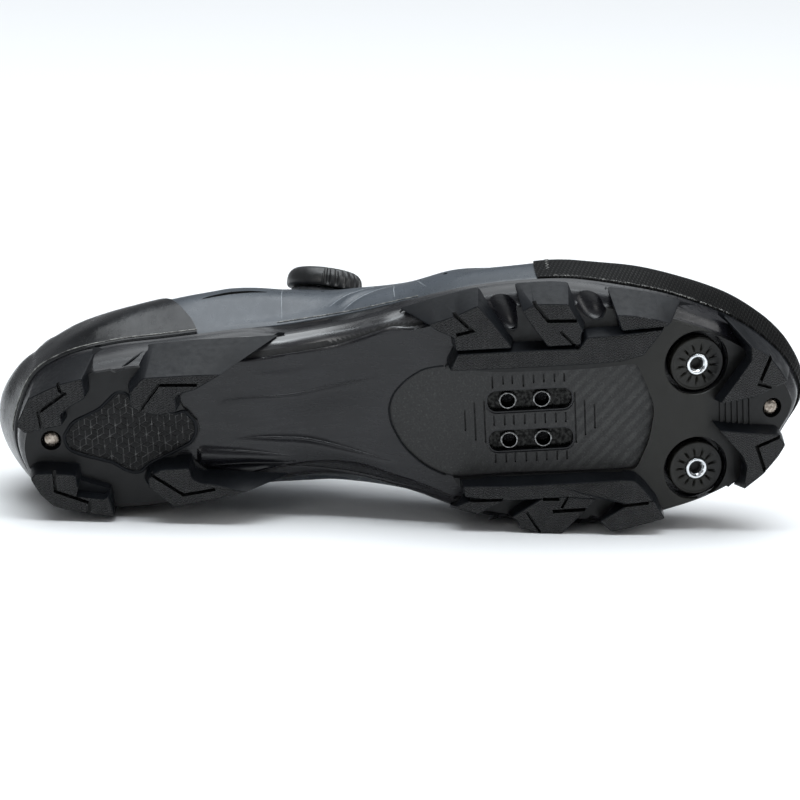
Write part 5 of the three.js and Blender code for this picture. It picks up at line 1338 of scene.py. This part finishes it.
# Rounded lips of the rubber: round the scallops, the heel notch and the inlay.
lips = [
    bead([(41.7, 165.8, 14.5), (38.6, 167.5, 12.5), (35.7, 169.5, 10.8), (33.4, 171.9, 9.2), (31.8, 174.1, 8.0), (31.1, 176.2, 7.4), (32.1, 177.6, 8.0), (35.0, 177.8, 10.5), (38.9, 177.4, 13.0), (44.0, 177.1, 16.0)], 0.5),
    bead([(41.4, 196.5, 14.5), (38.1, 197.8, 12.0), (35.4, 200.1, 9.5), (33.7, 202.5, 8.2), (33.3, 204.7, 7.6), (34.2, 206.4, 8.2), (36.7, 207.4, 10.5), (39.9, 207.2, 13.0), (41.9, 208.1, 16.0)], 0.5),
    bead([(26.9, 37.8, 19.0), (25.1, 39.4, 16.0), (23.4, 41.4, 12.5), (23.1, 42.4, 11.5), (23.8, 44.7, 12.0), (26.0, 48.6, 14.0), (27.5, 52.5, 17.0), (28.2, 55.0, 19.5)], 0.45),
    bead([(-38.9, 165.6, 14.5), (-36.9, 167.2, 10.4), (-34.9, 170.0, 8.0), (-35.6, 172.2, 8.4), (-38.2, 173.4, 13.0)], 0.42),
    bead([(-42.2, 195.9, 15.0), (-38.8, 197.3, 10.2), (-36.5, 199.9, 7.9), (-37.6, 202.2, 8.4), (-41.2, 203.6, 13.5)], 0.42),
]
ring = divide([offset(INLAY, -0.35)], 1.2)[0]
lips.append(tube(np.column_stack([ring, sheet(ring[:, 1]) + 0.15]), 0.62, 10, closed=True))
panel_ring = divide([offset(PANEL, -0.25)], 1.6)[0]
panel_ring = panel_ring[panel_ring[:, 1] < 153]
order = np.argsort(np.arctan2(panel_ring[:, 1] - 160, panel_ring[:, 0]))
panel_ring = panel_ring[order]
lips.append(tube(np.column_stack([panel_ring, plate_z(panel_ring[:, 1]) + 0.12]), 0.34, 8))
piece("rubber_lips", lips, [WALL], angle=60)


# ---------------------------------------------------------------- hexagon inlay
def build_inlay():
    base = curve_solid(divide([INLAY], 2.0)[0], lambda y: sheet(y) + 0.85, lambda y: plate_z(y) - 0.1, 0)
    v, f = [], []
    a = 4.1 / math.sqrt(3)
    rows, cols = 12, 14
    for i in range(-cols, cols):
        for j in range(-rows, rows):
            cy = 45 + 4.1 * (i + 0.5 * (j % 2))
            cx = 1.5 + 1.5 * a * j
            if not (18 < cy < 72 and -18 < cx < 20):
                continue
            corner = [(cx + a * math.cos(math.radians(60 * k)), cy + a * math.sin(math.radians(60 * k))) for k in range(6)]
            # pointing along x: corners at 0, 60, ... with flats across y
            for k in range(3):
                quad = np.array([(cx, cy), corner[(2 * k) % 6], corner[(2 * k + 1) % 6], corner[(2 * k + 2) % 6]])
                q = offset(quad, 0.13)
                h = 0.28 + 0.14 * random.random()
                tilt = (random.random() - 0.5) * 0.16, (random.random() - 0.5) * 0.16
                z = lambda p: sheet(p[:, 1]) + 0.85 - h + (p[:, 0] - cx) * tilt[0] + (p[:, 1] - cy) * tilt[1]
                lo = np.column_stack([q, z(q)])
                hi = np.column_stack([q, sheet(q[:, 1]) + 1.1])
                vv, ff = lofted([lo, hi])
                f += [[x + len(v) for x in g] for g in ff]
                v += vv
    cells = common(temp(v, f, 1), wall_prism(offset(INLAY, 0.35), -5, 40, 1))
    return [pull(base), pull(cells)]


piece("hexagon_inlay", build_inlay(), [HEXLINE, HEX], ["heel_inlay"], 25)


# ---------------------------------------------------------------- studs, screws, cleat nuts
def build_disc(x, y, spin):
    sides, petals = 156, 13
    prof = [(3.9, -2.6), (3.9, 0.35), (4.2, 0.55), (4.6, 0.5), (5.1, 0.46), (5.7, 0.42), (6.3, 0.38), (6.9, 0.34), (7.5, 0.3), (8.1, 0.28), (8.45, 0.34), (8.7, 0.5), (9.0, 0.52), (9.3, 0.34), (9.45, 0.0), (9.45, -2.6)]

    def wobble(k, a, rr, hh):
        r = prof[k][0]
        if 4.4 < r < 7.6 and prof[k][1] > 0:
            u = (a * petals / (2 * math.pi) + spin) % 1 - 0.5
            w = 0.075 + 0.05 * (7.6 - r) / 3.2
            deep = min(1, (r - 4.3) / 0.5) * (1 - max(0, (r - 6.2)) / 1.4)
            hh = hh - 0.75 * deep * np.exp(-(u / w) ** 2) + 0.12 * np.exp(-((np.abs(u) - 0.2) / 0.08) ** 2) * deep
        return rr, hh
    at, n = on_sheet(x, y, 2.3), sole_normal(y)
    ringed = []
    a = np.arange(sides) / sides * 2 * math.pi
    ref = np.array([0, 1.0, 0])
    u = np.cross(n, ref)
    u /= np.linalg.norm(u)
    w = np.cross(n, u)
    for k, (r, h) in enumerate(prof):
        rr, hh = wobble(k, a, np.full(sides, r), np.full(sides, h))
        ringed.append(at + np.outer(rr * np.cos(a), u) + np.outer(rr * np.sin(a), w) + np.outer(hh, n))
    v, f = lofted(ringed, cap=False)
    m = (len(prof) - 1) * sides
    for i in range(sides):
        j = (i + 1) % sides
        f.append([m + i, m + j, j, i])
    return v, f


def build_insert(x, y):
    at, n = on_sheet(x, y, 2.3), sole_normal(y)
    prof = [(3.75, -2.4), (3.75, 0.75), (3.6, 1.0), (3.3, 1.12), (2.95, 1.12), (2.7, 1.0), (2.45, 0.55), (2.2, 0.35), (2.05, 0.1), (2.05, -0.3), (1.85, -0.45), (2.05, -0.6), (1.85, -0.9), (2.05, -1.1), (1.85, -1.4), (2.05, -1.6),
            (1.85, -1.9), (1.8, -2.3)]
    v, f = lathe(prof, at, n, 56)
    return v, f


# The insert's bore takes the painted shade material: the steel painted near-black as shade deep in the hole.
def bore_faces(x, y):
    at, n = on_sheet(x, y, 2.3), sole_normal(y)

    def pick(cen, nor, ids):
        d = cen - at
        return np.where(np.linalg.norm(d - np.outer(d @ n, n), axis=1) < 2.12, 1, 0)
    return pick


for name, (x, y), spin in (("lateral", (13.7, 238.3), 0.1), ("medial", (-23.7, 237.1), 0.35)):
    piece("stud_cover_" + name, [build_disc(x, y, spin)], [FLOOR_R], ["stud_disc_" + name], 50)
    piece("stud_thread_" + name, [build_insert(x, y)], [STEEL, PAINTED_SHADE], ["stud_insert_" + name], 40, bore_faces(x, y))
for name, (x, y) in (("heel", (0.1, 19.0)), ("toe", (-5.3, 263.5))):
    prof = [(2.95, -1.6), (2.95, -0.2), (2.85, 0.15), (2.5, 0.55), (2.0, 0.85), (1.4, 1.05), (0.7, 1.16), (0.01, 1.2)]
    piece(name + "_screw_head", [lathe(prof, on_sheet(x, y, 1.5), sole_normal(y), 40)], [BRONZE], [name + "_screw"], 60)


def build_nuts():
    z0 = float(bed(180.5)) - 2.6
    slab = temp(*lofted([np.column_stack([q + [-1.3, 0.2], np.full(len(q), z)]) for q, z in
                         ((offset(stadium(0, 180.5, 34, 38, 4, 2), 0.4), z0), (stadium(0, 180.5, 34, 38, 4, 2), z0 + 0.4), (stadium(0, 180.5, 34, 38, 4, 2), z0 + 2.5))]), 0)
    parts = []
    for x, _ in SLOTS:
        for y in (173.4, 184.9):
            slab = minus(slab, temp(*lathe([(2.2, -3), (2.2, 4)], (x, y, z0), (0, 0, 1), 28), 0))
            prof = [(2.35, -0.2), (2.35, -1.9), (2.5, -2.15), (2.75, -2.2), (2.95, -2.05), (3.0, -1.8), (3.0, -0.2)]
            lp = [(x, y, z0)]
            v, f = lathe(prof, (x, y, z0), (0, 0, 1), 40)
            f = [q for q in f if len(q) == 4]
            k = (len(prof) - 1) * 40
            for i in range(40):
                j = (i + 1) % 40
                f.append([k + i, k + j, j, i])
            parts.append((v, f, 1))
            thread = [(2.35, 2.3)]
            for q in range(9):
                thread += [(2.36 if q % 2 else 2.1, 2.0 - q * 0.45)]
            thread += [(2.36, -2.0)]
            v, f = lathe(thread, (x, y, z0), (0, 0, 1), 28)
            f = [q for q in f if len(q) == 4]
            parts.append((v, f, 0))
    return [pull(slab)] + parts


piece("cleat_nuts", build_nuts(), [DARKSTEEL, BOSSRING], ["cleat_nut_plate"], 40)

# ---------------------------------------------------------------- upper
RU = ring_of(40, 150, 60)
LEVELS = list(np.linspace(0, 1, 14)) + list(np.linspace(1, 2, 16)[1:]) + list(np.linspace(2, 3, 18)[1:]) + list(np.linspace(3, 4, 18)[1:])
GRID = flank_points(flank(RU), LEVELS)
NORMAL = normals_of(RU, GRID)
HALF = len(RU["rim"]) // 2

# Creases placed on the skin: points in side view (y, z) on one side, depth along it (minus is a trough), half width.
CREASES = [
    dict(side=1, pts=[(114.8, 33), (120, 39.5), (126, 43.5), (130.6, 45)], deep=[0, -0.5, -0.5, 0], width=1.2),
    dict(side=1, pts=[(117, 30.5), (122, 37.2), (129, 41.6), (134.5, 43.2)], deep=[0, 0.4, 0.35, 0], width=1.8),
    dict(side=1, pts=[(119.3, 28), (124, 34.5), (131, 39), (137.2, 41)], deep=[0, -0.5, -0.4, 0], width=1.2),
    dict(side=1, pts=[(98.6, 28), (98.5, 40), (98.8, 52)], deep=[-0.12, -0.3, -0.12], width=0.7),
    dict(side=1, pts=[(137.2, 27), (137.0, 34), (137.3, 42)], deep=[-0.1, -0.28, -0.1], width=0.7),
    dict(side=1, pts=[(148.1, 29), (146.2, 34), (144.7, 39)], deep=[0, -0.3, 0], width=0.9),
    dict(side=1, pts=[(155, 30), (166, 37), (178, 42)], deep=[0, -0.35, 0], width=3.0),
    dict(side=1, pts=[(150, 44), (164, 49), (178, 50)], deep=[0, 0.4, 0], width=4.0),
    dict(side=1, pts=[(64, 30), (80, 33), (96, 33), (108, 31)], deep=[0, -0.7, -0.8, 0], width=6.5),
    dict(side=1, pts=[(60, 52), (78, 55), (98, 54)], deep=[0, 0.8, 0], width=8.0),
    dict(side=1, pts=[(20, 34), (34, 33), (50, 32)], deep=[0, 0.7, 0], width=4.5),
    dict(side=1, pts=[(14, 46), (30, 46), (50, 43)], deep=[0, -0.7, 0], width=6.0),
    dict(side=-1, pts=[(92, 40), (104, 47), (118, 50), (134, 47)], deep=[0, -0.8, -0.8, 0], width=2.6),
    dict(side=-1, pts=[(90, 34), (106, 41), (122, 43.5), (138, 40)], deep=[0, 0.7, 0.6, 0], width=2.6),
    dict(side=-1, pts=[(96, 29.5), (110, 35.5), (124, 37), (138, 33)], deep=[0, -0.8, -0.7, 0], width=2.2),
    dict(side=-1, pts=[(150, 38), (162, 44), (176, 46)], deep=[0, -0.6, 0], width=3.2),
    dict(side=-1, pts=[(152, 32), (164, 38), (178, 40)], deep=[0, 0.5, 0], width=3.2),
    dict(side=-1, pts=[(62, 60), (76, 66), (90, 66)], deep=[0, -0.6, 0], width=5.0),
    dict(side=-1, pts=[(40, 34), (60, 36), (80, 35)], deep=[0, -0.6, 0], width=5.5),
]
# Flex lines over the toe joint, in plan (x, y).
TOP_CREASES = [
    dict(pts=[(-30, 172), (-14, 181), (4, 183), (22, 178)], deep=[0, -0.9, -0.9, 0], width=2.6),
    dict(pts=[(-30, 178), (-14, 187), (4, 189), (22, 184)], deep=[0, 0.6, 0.6, 0], width=3.0),
    dict(pts=[(-28, 185), (-14, 194), (2, 196), (18, 191)], deep=[0, -0.7, -0.7, 0], width=2.8),
]


def along_line(p2, c):
    """Depth that one crease gives at 2-D places."""
    line = smooth_path([(a, b, 0) for a, b in c["pts"]], 1.2)[:, :2]
    s = np.linspace(0, len(c["deep"]) - 1, len(line))
    deep = np.interp(s, range(len(c["deep"])), c["deep"])
    q = p2.reshape(-1, 2)
    lo, hi = line.min(0) - 3 * c["width"], line.max(0) + 3 * c["width"]
    near = np.where(((q > lo) & (q < hi)).all(1))[0]
    out = np.zeros(len(q))
    if len(near):
        d = np.linalg.norm(q[near][:, None] - line[None], axis=2)
        j = d.argmin(1)
        out[near] = deep[j] * np.exp(-(d[np.arange(len(near)), j] / c["width"]) ** 2)
    return out.reshape(p2.shape[:-1])


def relief(points, ring_side):
    """Listed creases and the soft unevenness of a worn skin, in millimetres along the normal."""
    x, y, z = points[..., 0], points[..., 1], points[..., 2]
    out = np.zeros(x.shape)
    for c in CREASES:
        out += along_line(points[..., 1:], c) * (ring_side == c["side"])
    for c in TOP_CREASES:
        out += along_line(points[..., :2], c) * (z > 40)
    soft = 0.16 * np.sin(0.21 * y + 0.17 * z + 1.3 * np.sin(0.09 * z)) + 0.12 * np.sin(0.33 * z - 0.12 * y + 0.8 * ring_side)
    return out + soft * np.clip((z - 26) / 8, 0, 1)


SIDE_GRID = np.broadcast_to(RU["side"][None, :], GRID.shape[:2])
RELIEF = relief(GRID, SIDE_GRID) * np.clip((np.array(LEVELS) - 0.0) / 0.25, 0, 1)[:, None]
SKIN = GRID + NORMAL * (RELIEF - 0.12)[..., None]
SKIN[:, 0, 0] = GRID[:, 0, 0]


def skin_body(move, foot=None, mat=0):
    loops = SKIN + NORMAL * move
    low = foot or (lambda y: rim(y) + GAP)
    y = RU["rim"][:, 1]
    first = np.column_stack([loops[0][:, :2], low(y)])
    base = np.column_stack([RU["spine"], low(RU["spine"][:, 1])])
    if foot is None:
        seat = np.column_stack([loops[0][:, :2] - RU["out"] * (LIP + 1.5), low(y)])
        small = np.column_stack([loops[0][:, :2] - RU["out"] * 0.5, low(y)])
        mid = np.column_stack([loops[0][:, :2] - RU["out"] * 0.12, low(y) + 0.12])
        return temp(*folded([base, seat, small, mid] + list(loops[1:])), mat)
    return temp(*folded([base, first] + list(loops)), mat)


def below_foot(y):
    return rim(y) - 8


collar_z = curve(COLLAR[:, 0], COLLAR[:, 1])
throat_half = curve(THROAT[:, 0], THROAT[:, 1])
ys = np.linspace(80, 173.5, 60)
throat_poly = np.concatenate([np.column_stack([ridge_x(ys) + throat_half(ys), ys]), np.column_stack([ridge_x(ys) - throat_half(ys), ys])[::-1]])

upper = minus(skin_body(0.0), skin_body(-UPPER_WALL, below_foot, 1))
upper = minus(upper, band(collar_z, lambda y: 200, -30, 97, 1.2, 1))
upper = minus(upper, wall_prism(throat_poly, 48, 200, 1))
probe = skin_body(0.0)
BVH = BVHTree.FromObject(probe, bpy.context.evaluated_depsgraph_get())
drop(probe)


def on_skin(x, y, lift=0.0):
    """Point above or below the skin at a plan place, from the top."""
    hit, n, _, _ = BVH.ray_cast(Vector((x, y, 190)), Vector((0, 0, -1)))
    return np.array(hit) + np.array(n) * lift, np.array(n)


def on_side(y, z, side=1, lift=0.0):
    """Point on the skin at a side-view place."""
    hit, n, _, _ = BVH.ray_cast(Vector((90 * side, y, z)), Vector((-side, 0, 0)))
    return np.array(hit) + np.array(n) * lift, np.array(n)


def side_line(pts, side=1, step=0.8, lift=0.0):
    p = smooth_path([(a, b, 0) for a, b in pts], step)[:, :2]
    out = [on_side(a, b, side, lift) for a, b in p]
    return np.array([o[0] for o in out]), np.array([o[1] for o in out])


# The slit of the tongue's anchor and the two small holes on the outer side, with their cut walls painted near-black as
# shade.
SLIT = [(71.5, 42.2), (76, 43.9), (82, 45.2), (88, 45.6), (93.5, 45.0)]
line, nrm = side_line(SLIT, 1, 1.0)
half = 1.1 * np.sin(np.linspace(0.08, math.pi - 0.08, len(line))) ** 0.6
up = np.array([0, 0.0, 1.0])
loops = [np.array([p - n * 1.5 + up * h, p + n * 3 + up * h, p + n * 3 - up * h, p - n * 1.5 - up * h]) for p, n, h in zip(line, nrm, half)]
upper = minus(upper, temp(*lofted(loops), 2))
for y, z, r in ((154.8, 35.6, 0.85), (112.7, 47.4, 0.75)):
    p, n = on_side(y, z, 1)
    upper = minus(upper, temp(*lathe([(r, -1.5), (r, 2)], p, n, 16), 2))

piece("upper_shell", [pull(upper)], [SHELL, LINING, PAINTED_SHADE], ["upper"], 32)


# ---------------------------------------------------------------- toe cap and heel counter
def overlay(inner, outer):
    return minus(skin_body(outer), skin_body(inner, below_foot))


seam = smooth_path([(x, y, 0) for x, y in TOE_SEAM], 2.0)[:, :2]
cap = common(overlay(0.1, 0.72), wall_prism(np.concatenate([seam, [(80, 300), (-80, 300)]]), 0, 200))
piece("toe_cap_weave", [pull(cap)], [WEAVE], ["toe_cap"], 32)

seam_side = smooth_path([(y, z, 0) for y, z in [(70.2, 16), (70, 23), (68.4, 29), (65.4, 35), (62, 41), (56.5, 50), (47, 62), (32, 73.5), (12, 82.5), (-10, 84)]], 1.5)[:, :2]
poly = np.concatenate([seam_side, [(-40, 84), (-40, 0), (70.2, 0)]])
wedge = [np.column_stack([np.full(len(poly), x), poly]) for x in (-80.0, 80.0)]
counter = common(overlay(0.1, 0.95), temp(*lofted(wedge)))
counter = minus(counter, band(lambda y: collar_z(y) - 2.2, lambda y: 200, -30, 97, 1.5))
piece("heel_counter_gloss", [pull(counter)], [COUNTER], ["heel_counter"], 32)


# Thin raised lines pressed into the skin, and the beads of adhesive and the stitches along the seams, light-coloured as
# a painted glint.
fine = []
for pts in ([(114.8, 33), (120, 39.5), (126, 43.5), (130.6, 45)], [(119.3, 28), (124, 34.5), (131, 39), (137.2, 41)], [(98.6, 29), (98.5, 40), (98.8, 50)], [(137.2, 28), (137.0, 34), (137.3, 41)],
            [(148.1, 29), (146.2, 34), (144.7, 39)]):
    line, nrm = side_line(pts, 1, 0.8, -0.02)
    thin = 0.2 * np.sin(np.linspace(0.25, math.pi - 0.25, len(line)))
    fine.append(tube(line, thin, 6))
piece("upper_press_lines", fine, [CREASE], angle=80)
glue_glints = []
for z0, y0, lift in ((24, 184.9, 0.05), (24, 188.6, 0.75)):
    zig = []
    for k in range(22):
        z = z0 + k * 1.05
        zig.append(on_side(y0 + 0.9 * (k % 2) + 0.02 * (z - 24), z, 1, lift)[0])
    glue_glints.append(tube(np.array(zig), 0.2, 6))
for i in range(len(RU["rim"])):
    if RU["side"][i] > 0 and 190 < RU["rim"][i, 1] < 250:
        for k in range(3):
            a = SKIN[1, i] * (1 - k / 3) + SKIN[1, (i + 1) % len(RU["rim"])] * (k / 3)
            c = a + NORMAL[1, i] * 0.62 + np.array([0, 0, (random.random() - 0.5) * 0.5])
            r = 0.16 + 0.2 * random.random() ** 2
            glue_glints.append(lathe([(0.01, -r), (0.7 * r, -0.7 * r), (r, 0), (0.7 * r, 0.7 * r), (0.01, r)], c, NORMAL[1, i], 7))
for y0, y1 in ((-6.0, 71.0), (96.0, 146.0)):
    run = [SKIN[1, i] + NORMAL[1, i] * (1.0 if y0 < 0 else 0.1) for i in range(len(RU["rim"])) if RU["side"][i] > 0 and y0 < RU["rim"][i, 1] < y1]
    run = smooth_path(np.array(run)[np.argsort([q[1] for q in run])], 0.6)
    glue_glints.append(tube(run, 0.14 + 0.12 * np.array([random.random() for _ in run]), 6))
piece("seam_glue_painted_glint", glue_glints, [GLINT], angle=80)


# ---------------------------------------------------------------- bound edge of the collar and the throat
def crossing(i, want):
    """Place and normal on column i where the skin first reaches the height want(y)."""
    col, nor = SKIN[:, i], NORMAL[:, i]
    d = col[:, 2] - want(col[:, 1])
    for k in range(8, len(col) - 1):
        if d[k] < 0 <= d[k + 1]:
            s = d[k] / (d[k] - d[k + 1])
            return col[k] * (1 - s) + col[k + 1] * s, nor[k] * (1 - s) + nor[k + 1] * s
    return None


edge = []
n_ring = len(RU["rim"])
for i in list(range(HALF, -1, -1)) + list(range(n_ring - 1, HALF, -1)):
    c = crossing(i, collar_z)
    if c is not None and c[0][1] < 95.5:
        edge.append(c[0] - c[1] * 1.2)
edge = np.array(edge)
lat_corner, med_corner = edge[0], edge[-1]
down = []
for y in np.linspace(97.6, 173.2, 44):
    p, n = on_skin(float(ridge_x(y) - throat_half(y)), y)
    down.append(p - n * 1.2)
back_up = []
for y in np.linspace(173.2, 97.6, 44):
    p, n = on_skin(float(ridge_x(y) + throat_half(y)), y)
    back_up.append(p - n * 1.2)
rim_path = resample(np.concatenate([edge, down, back_up]), 1.5, True)
for _ in range(2):
    rim_path = (np.roll(rim_path, 1, 0) + 2 * rim_path + np.roll(rim_path, -1, 0)) / 4
fat = np.clip((95 - rim_path[:, 1]) / 20, 0, 1) * (rim_path[:, 2] > 55)
piece("collar_binding", [tube(rim_path, 1.55 + 0.75 * fat, 12, closed=True)], [TONGUE_CLOTH], angle=80)


# ---------------------------------------------------------------- tongue and insole, padded
def build_tongue():
    tongue_half = curve(TONGUE[:, 0], TONGUE[:, 1])
    rows, cols, loops = 84, 40, []
    for k in range(rows + 1):
        u = k / rows
        y = 86.6 + (177.6 - 86.6) * u
        end = min(1.0, math.sqrt(max(1 - (1 - min(1, u / 0.035)) ** 2, 0.0)), math.sqrt(max(1 - (1 - min(1, (1 - u) / 0.035)) ** 2, 0.0)))
        h = float(tongue_half(y)) - 0.5
        top, low = [], []
        for c in range(cols + 1):
            w = -math.cos(math.pi * c / cols)
            x = float(ridge_x(y)) + w * h
            rnd = math.sqrt(max(0, 1 - abs(w) ** 7)) * end
            quilt = 0.22 * math.sin(y * 0.42) * (1 - w ** 4)
            p, n = on_skin(x, y)
            mid = 5.0
            top.append(p - n * (mid - (2.05 + quilt) * rnd))
            low.append(p - n * (mid + 2.0 * rnd))
        loops.append(np.array(top + low[::-1][1:-1]))
    return lofted(loops)


piece("tongue_pad", [build_tongue()], [TONGUE_CLOTH], ["tongue"], 80)


def build_insole():
    y = RS["rim"][:, 1]
    at = lambda inset, h: np.column_stack([RS["rim"] - RS["out"] * inset, bed(y) + GAP + h])
    spine = lambda h: np.column_stack([RS["spine"], bed(RS["spine"][:, 1]) + GAP + h])
    loops = [spine(0.02), at(3, 0.02), at(1.8, 0.02), at(1.35, 0.4), at(1.25, 1.2), at(1.3, 2.1), at(1.6, 2.7), at(2.2, 2.95)]
    rim_l = at(3.2, 2.95)
    for s in np.linspace(0, 1, 14)[1:]:
        p = rim_l * (1 - s) + spine(2.95) * s
        p[:, 2] = bed(p[:, 1]) + GAP + 2.95 - 0.7 * math.sin(math.pi * min(1, s * 1.0) / 2) ** 0.8 * (0.6 + 0.4 * np.cos(p[:, 1] * 0.03))
        loops.append(p)
    for lp in loops:
        lp[:, :2] -= np.column_stack([(lp[:, 0] - 0) * 0, lp[:, 1] * 0])
    return folded([np.column_stack([l[:, :2] * 1.0, l[:, 2]]) for l in loops])


def narrow(part):
    """The insole drawn in to stay clear of the upper's feet."""
    v, f = np.array(part[0]), part[1]
    v[:, 0] *= 0.94
    v[:, 1] = 138 + (v[:, 1] - 138) * 0.965
    return v, f


piece("insole_foam", [narrow(build_insole())], [INSOLE_CLOTH], ["insole"], 60)


# ---------------------------------------------------------------- dial, guides, lace
def station_t(y, side, t):
    """Point and normal of the last at height share t."""
    def at(yy, tt):
        c = np.array([[float(ridge_x(yy)), yy]])
        d = np.array([[float(side), 1e-9]])
        rimp, out = leave(c, d)
        r = dict(rim=rimp, out=out, spine=c, side=np.array([float(side)]))
        return flank_points(flank(r), [tt])[0, 0]
    p = at(y, t)
    a, u = at(y + 1, t) - at(y - 1, t), at(y, t + 0.02) - at(y, t - 0.02)
    n = np.cross(a, u)
    n /= np.linalg.norm(n)
    if n[0] * side < 0 and abs(n[0]) > 0.2:
        n = -n
    if n[2] < 0:
        n = -n
    return p, n


seat_p, seat_n = station_t(111.8, 1, 2.52)
axis = np.array([seat_n[0], 0.17, seat_n[2]])
axis /= np.linalg.norm(axis)
solid = temp(*lathe([(11.4, -8), (11.6, -0.3), (11.7, 0.3), (11.5, 0.9), (11.1, 1.35), (10.4, 1.55), (6, 1.6)], seat_p, axis, 96), 0)
solid = minus(solid, skin_body(0.02, below_foot))
piece("dial_seat", [pull(solid)], [BASE_PLASTIC], ["dial_base"], 40)


def build_knob():
    prof = [(0.01, 0.0), (9, 0.0), (12.4, 0.0), (12.9, 0.12), (13.2, 0.5), (13.35, 1.1), (13.4, 1.9), (13.38, 2.8), (13.25, 3.7), (12.95, 4.6), (12.45, 5.4), (11.75, 6.1), (10.85, 6.6), (9.8, 6.88), (8.2, 6.97), (7.6, 6.9), (7.2, 6.55),
            (6.8, 6.5), (3, 6.55), (0.01, 6.6)]
    toe = np.array([0, 1.0, 0])
    ref = np.array([0, 1.0, 0]) if abs(axis[1]) < 0.9 else np.array([1.0, 0, 0])
    u = np.cross(axis, ref)
    u /= np.linalg.norm(u)
    w = np.cross(axis, u)

    def wobble(k, a, rr, hh):
        d = np.outer(np.cos(a), u) + np.outer(np.sin(a), w)
        front = d @ toe
        grip = np.clip((front - 0.02) / 0.05, 0, 1)
        h = prof[k][1]
        if 0.4 < h < 6.9 and prof[k][0] > 9:
            wave = 0.5 - 0.5 * np.cos(a * 26)
            valley = np.clip((wave - 0.55) / 0.3, 0, 1)
            strength = np.interp(h, [0.4, 1.2, 5.4, 6.9], [0.3, 1, 1, 0.25])
            rr = rr - grip * strength * (0.15 + 0.75 * valley)
            seam = np.exp(-((front - 0.0) / 0.02) ** 2)
            rr = rr - 0.35 * seam
        return rr, hh
    return lathe(prof, seat_p + axis * 1.8, axis, 260, wobble)


piece("dial_cap", [build_knob()], [DIAL_PLASTIC], ["dial_knob"], 38)

LACE_RUN = [(-1, 119, 4.6), (1, 134, 4.2), (-1, 147, 4.0), (1, 159, 4.0)]
seats = []
for side, y, outw in LACE_RUN:
    half = float(throat_half(y)) + outw
    t = 4.0
    while t > 1 and abs(station_t(y, side, t)[0][0] - float(ridge_x(y))) < half:
        t -= 0.02
    seats.append((side, y, *station_t(y, side, t)))


def above(x, y, lift):
    p, n = on_skin(x, y)
    return p + n * lift


to_inside = np.cross(axis, [0, -1, 0])
to_inside /= np.linalg.norm(to_inside)
start = seat_p + axis * 1.9 + to_inside * (1 if to_inside[0] < 0 else -1) * 13.0
pts, origin = [start], start
for i, (side, y, p, n) in enumerate(seats):
    enter = np.array([p[0] - side * 3.4, p[1] - 2.4])
    for k in range(1, 6):
        q = origin[:2] + (enter - origin[:2]) * k / 6
        pts.append(above(q[0], q[1], 2.1 - 1.9 * math.sin(math.pi * k / 6)))
    pts.append(above(enter[0], enter[1], 2.1))
    pts.append(p + n * 2.1 + np.array([-side * 0.4, 0, 0]))
    if i < 3:
        origin = above(p[0] - side * 3.4, p[1] + 2.4, 2.1)
        pts.append(origin)
piece("lace_cable", [tube(smooth_path(pts, 0.6), 0.78, 12)], [CORD], ["lace"], 70)

for k, (side, y, p, n) in enumerate(seats):
    across = np.cross([0, 1, 0], n)
    across /= np.linalg.norm(across)
    forward = np.cross(n, across)
    loops = []
    for h, g in ((-0.4, 0.0), (0.2, 0.02), (2.6, 0.0), (3.5, 0.3), (4.1, 0.8), (4.4, 1.6)):
        ring2 = stadium(0, 0, 7.0 - 2 * g, 10.4 - 2 * g, 7, 2.2 - min(g, 1.2))
        loops.append(p + np.outer(ring2[:, 0], across) + np.outer(ring2[:, 1], forward) + n * h)
    block = temp(*lofted(loops))
    mouth = [p + across * (x0 - side * 3.2) + np.outer([-3.8, 3.8, 3.8, -3.8], forward) + np.outer([0.85, 0.85, 3.35, 3.35], n) for x0 in (-4.6, 4.6)]
    block = minus(block, temp(*lofted(mouth)))
    block = minus(block, skin_body(0.02, below_foot))
    piece("guide_%d" % (k + 1), [pull(block)], [BASE_PLASTIC], ["lace_guide_%d" % (k + 1)], 40)
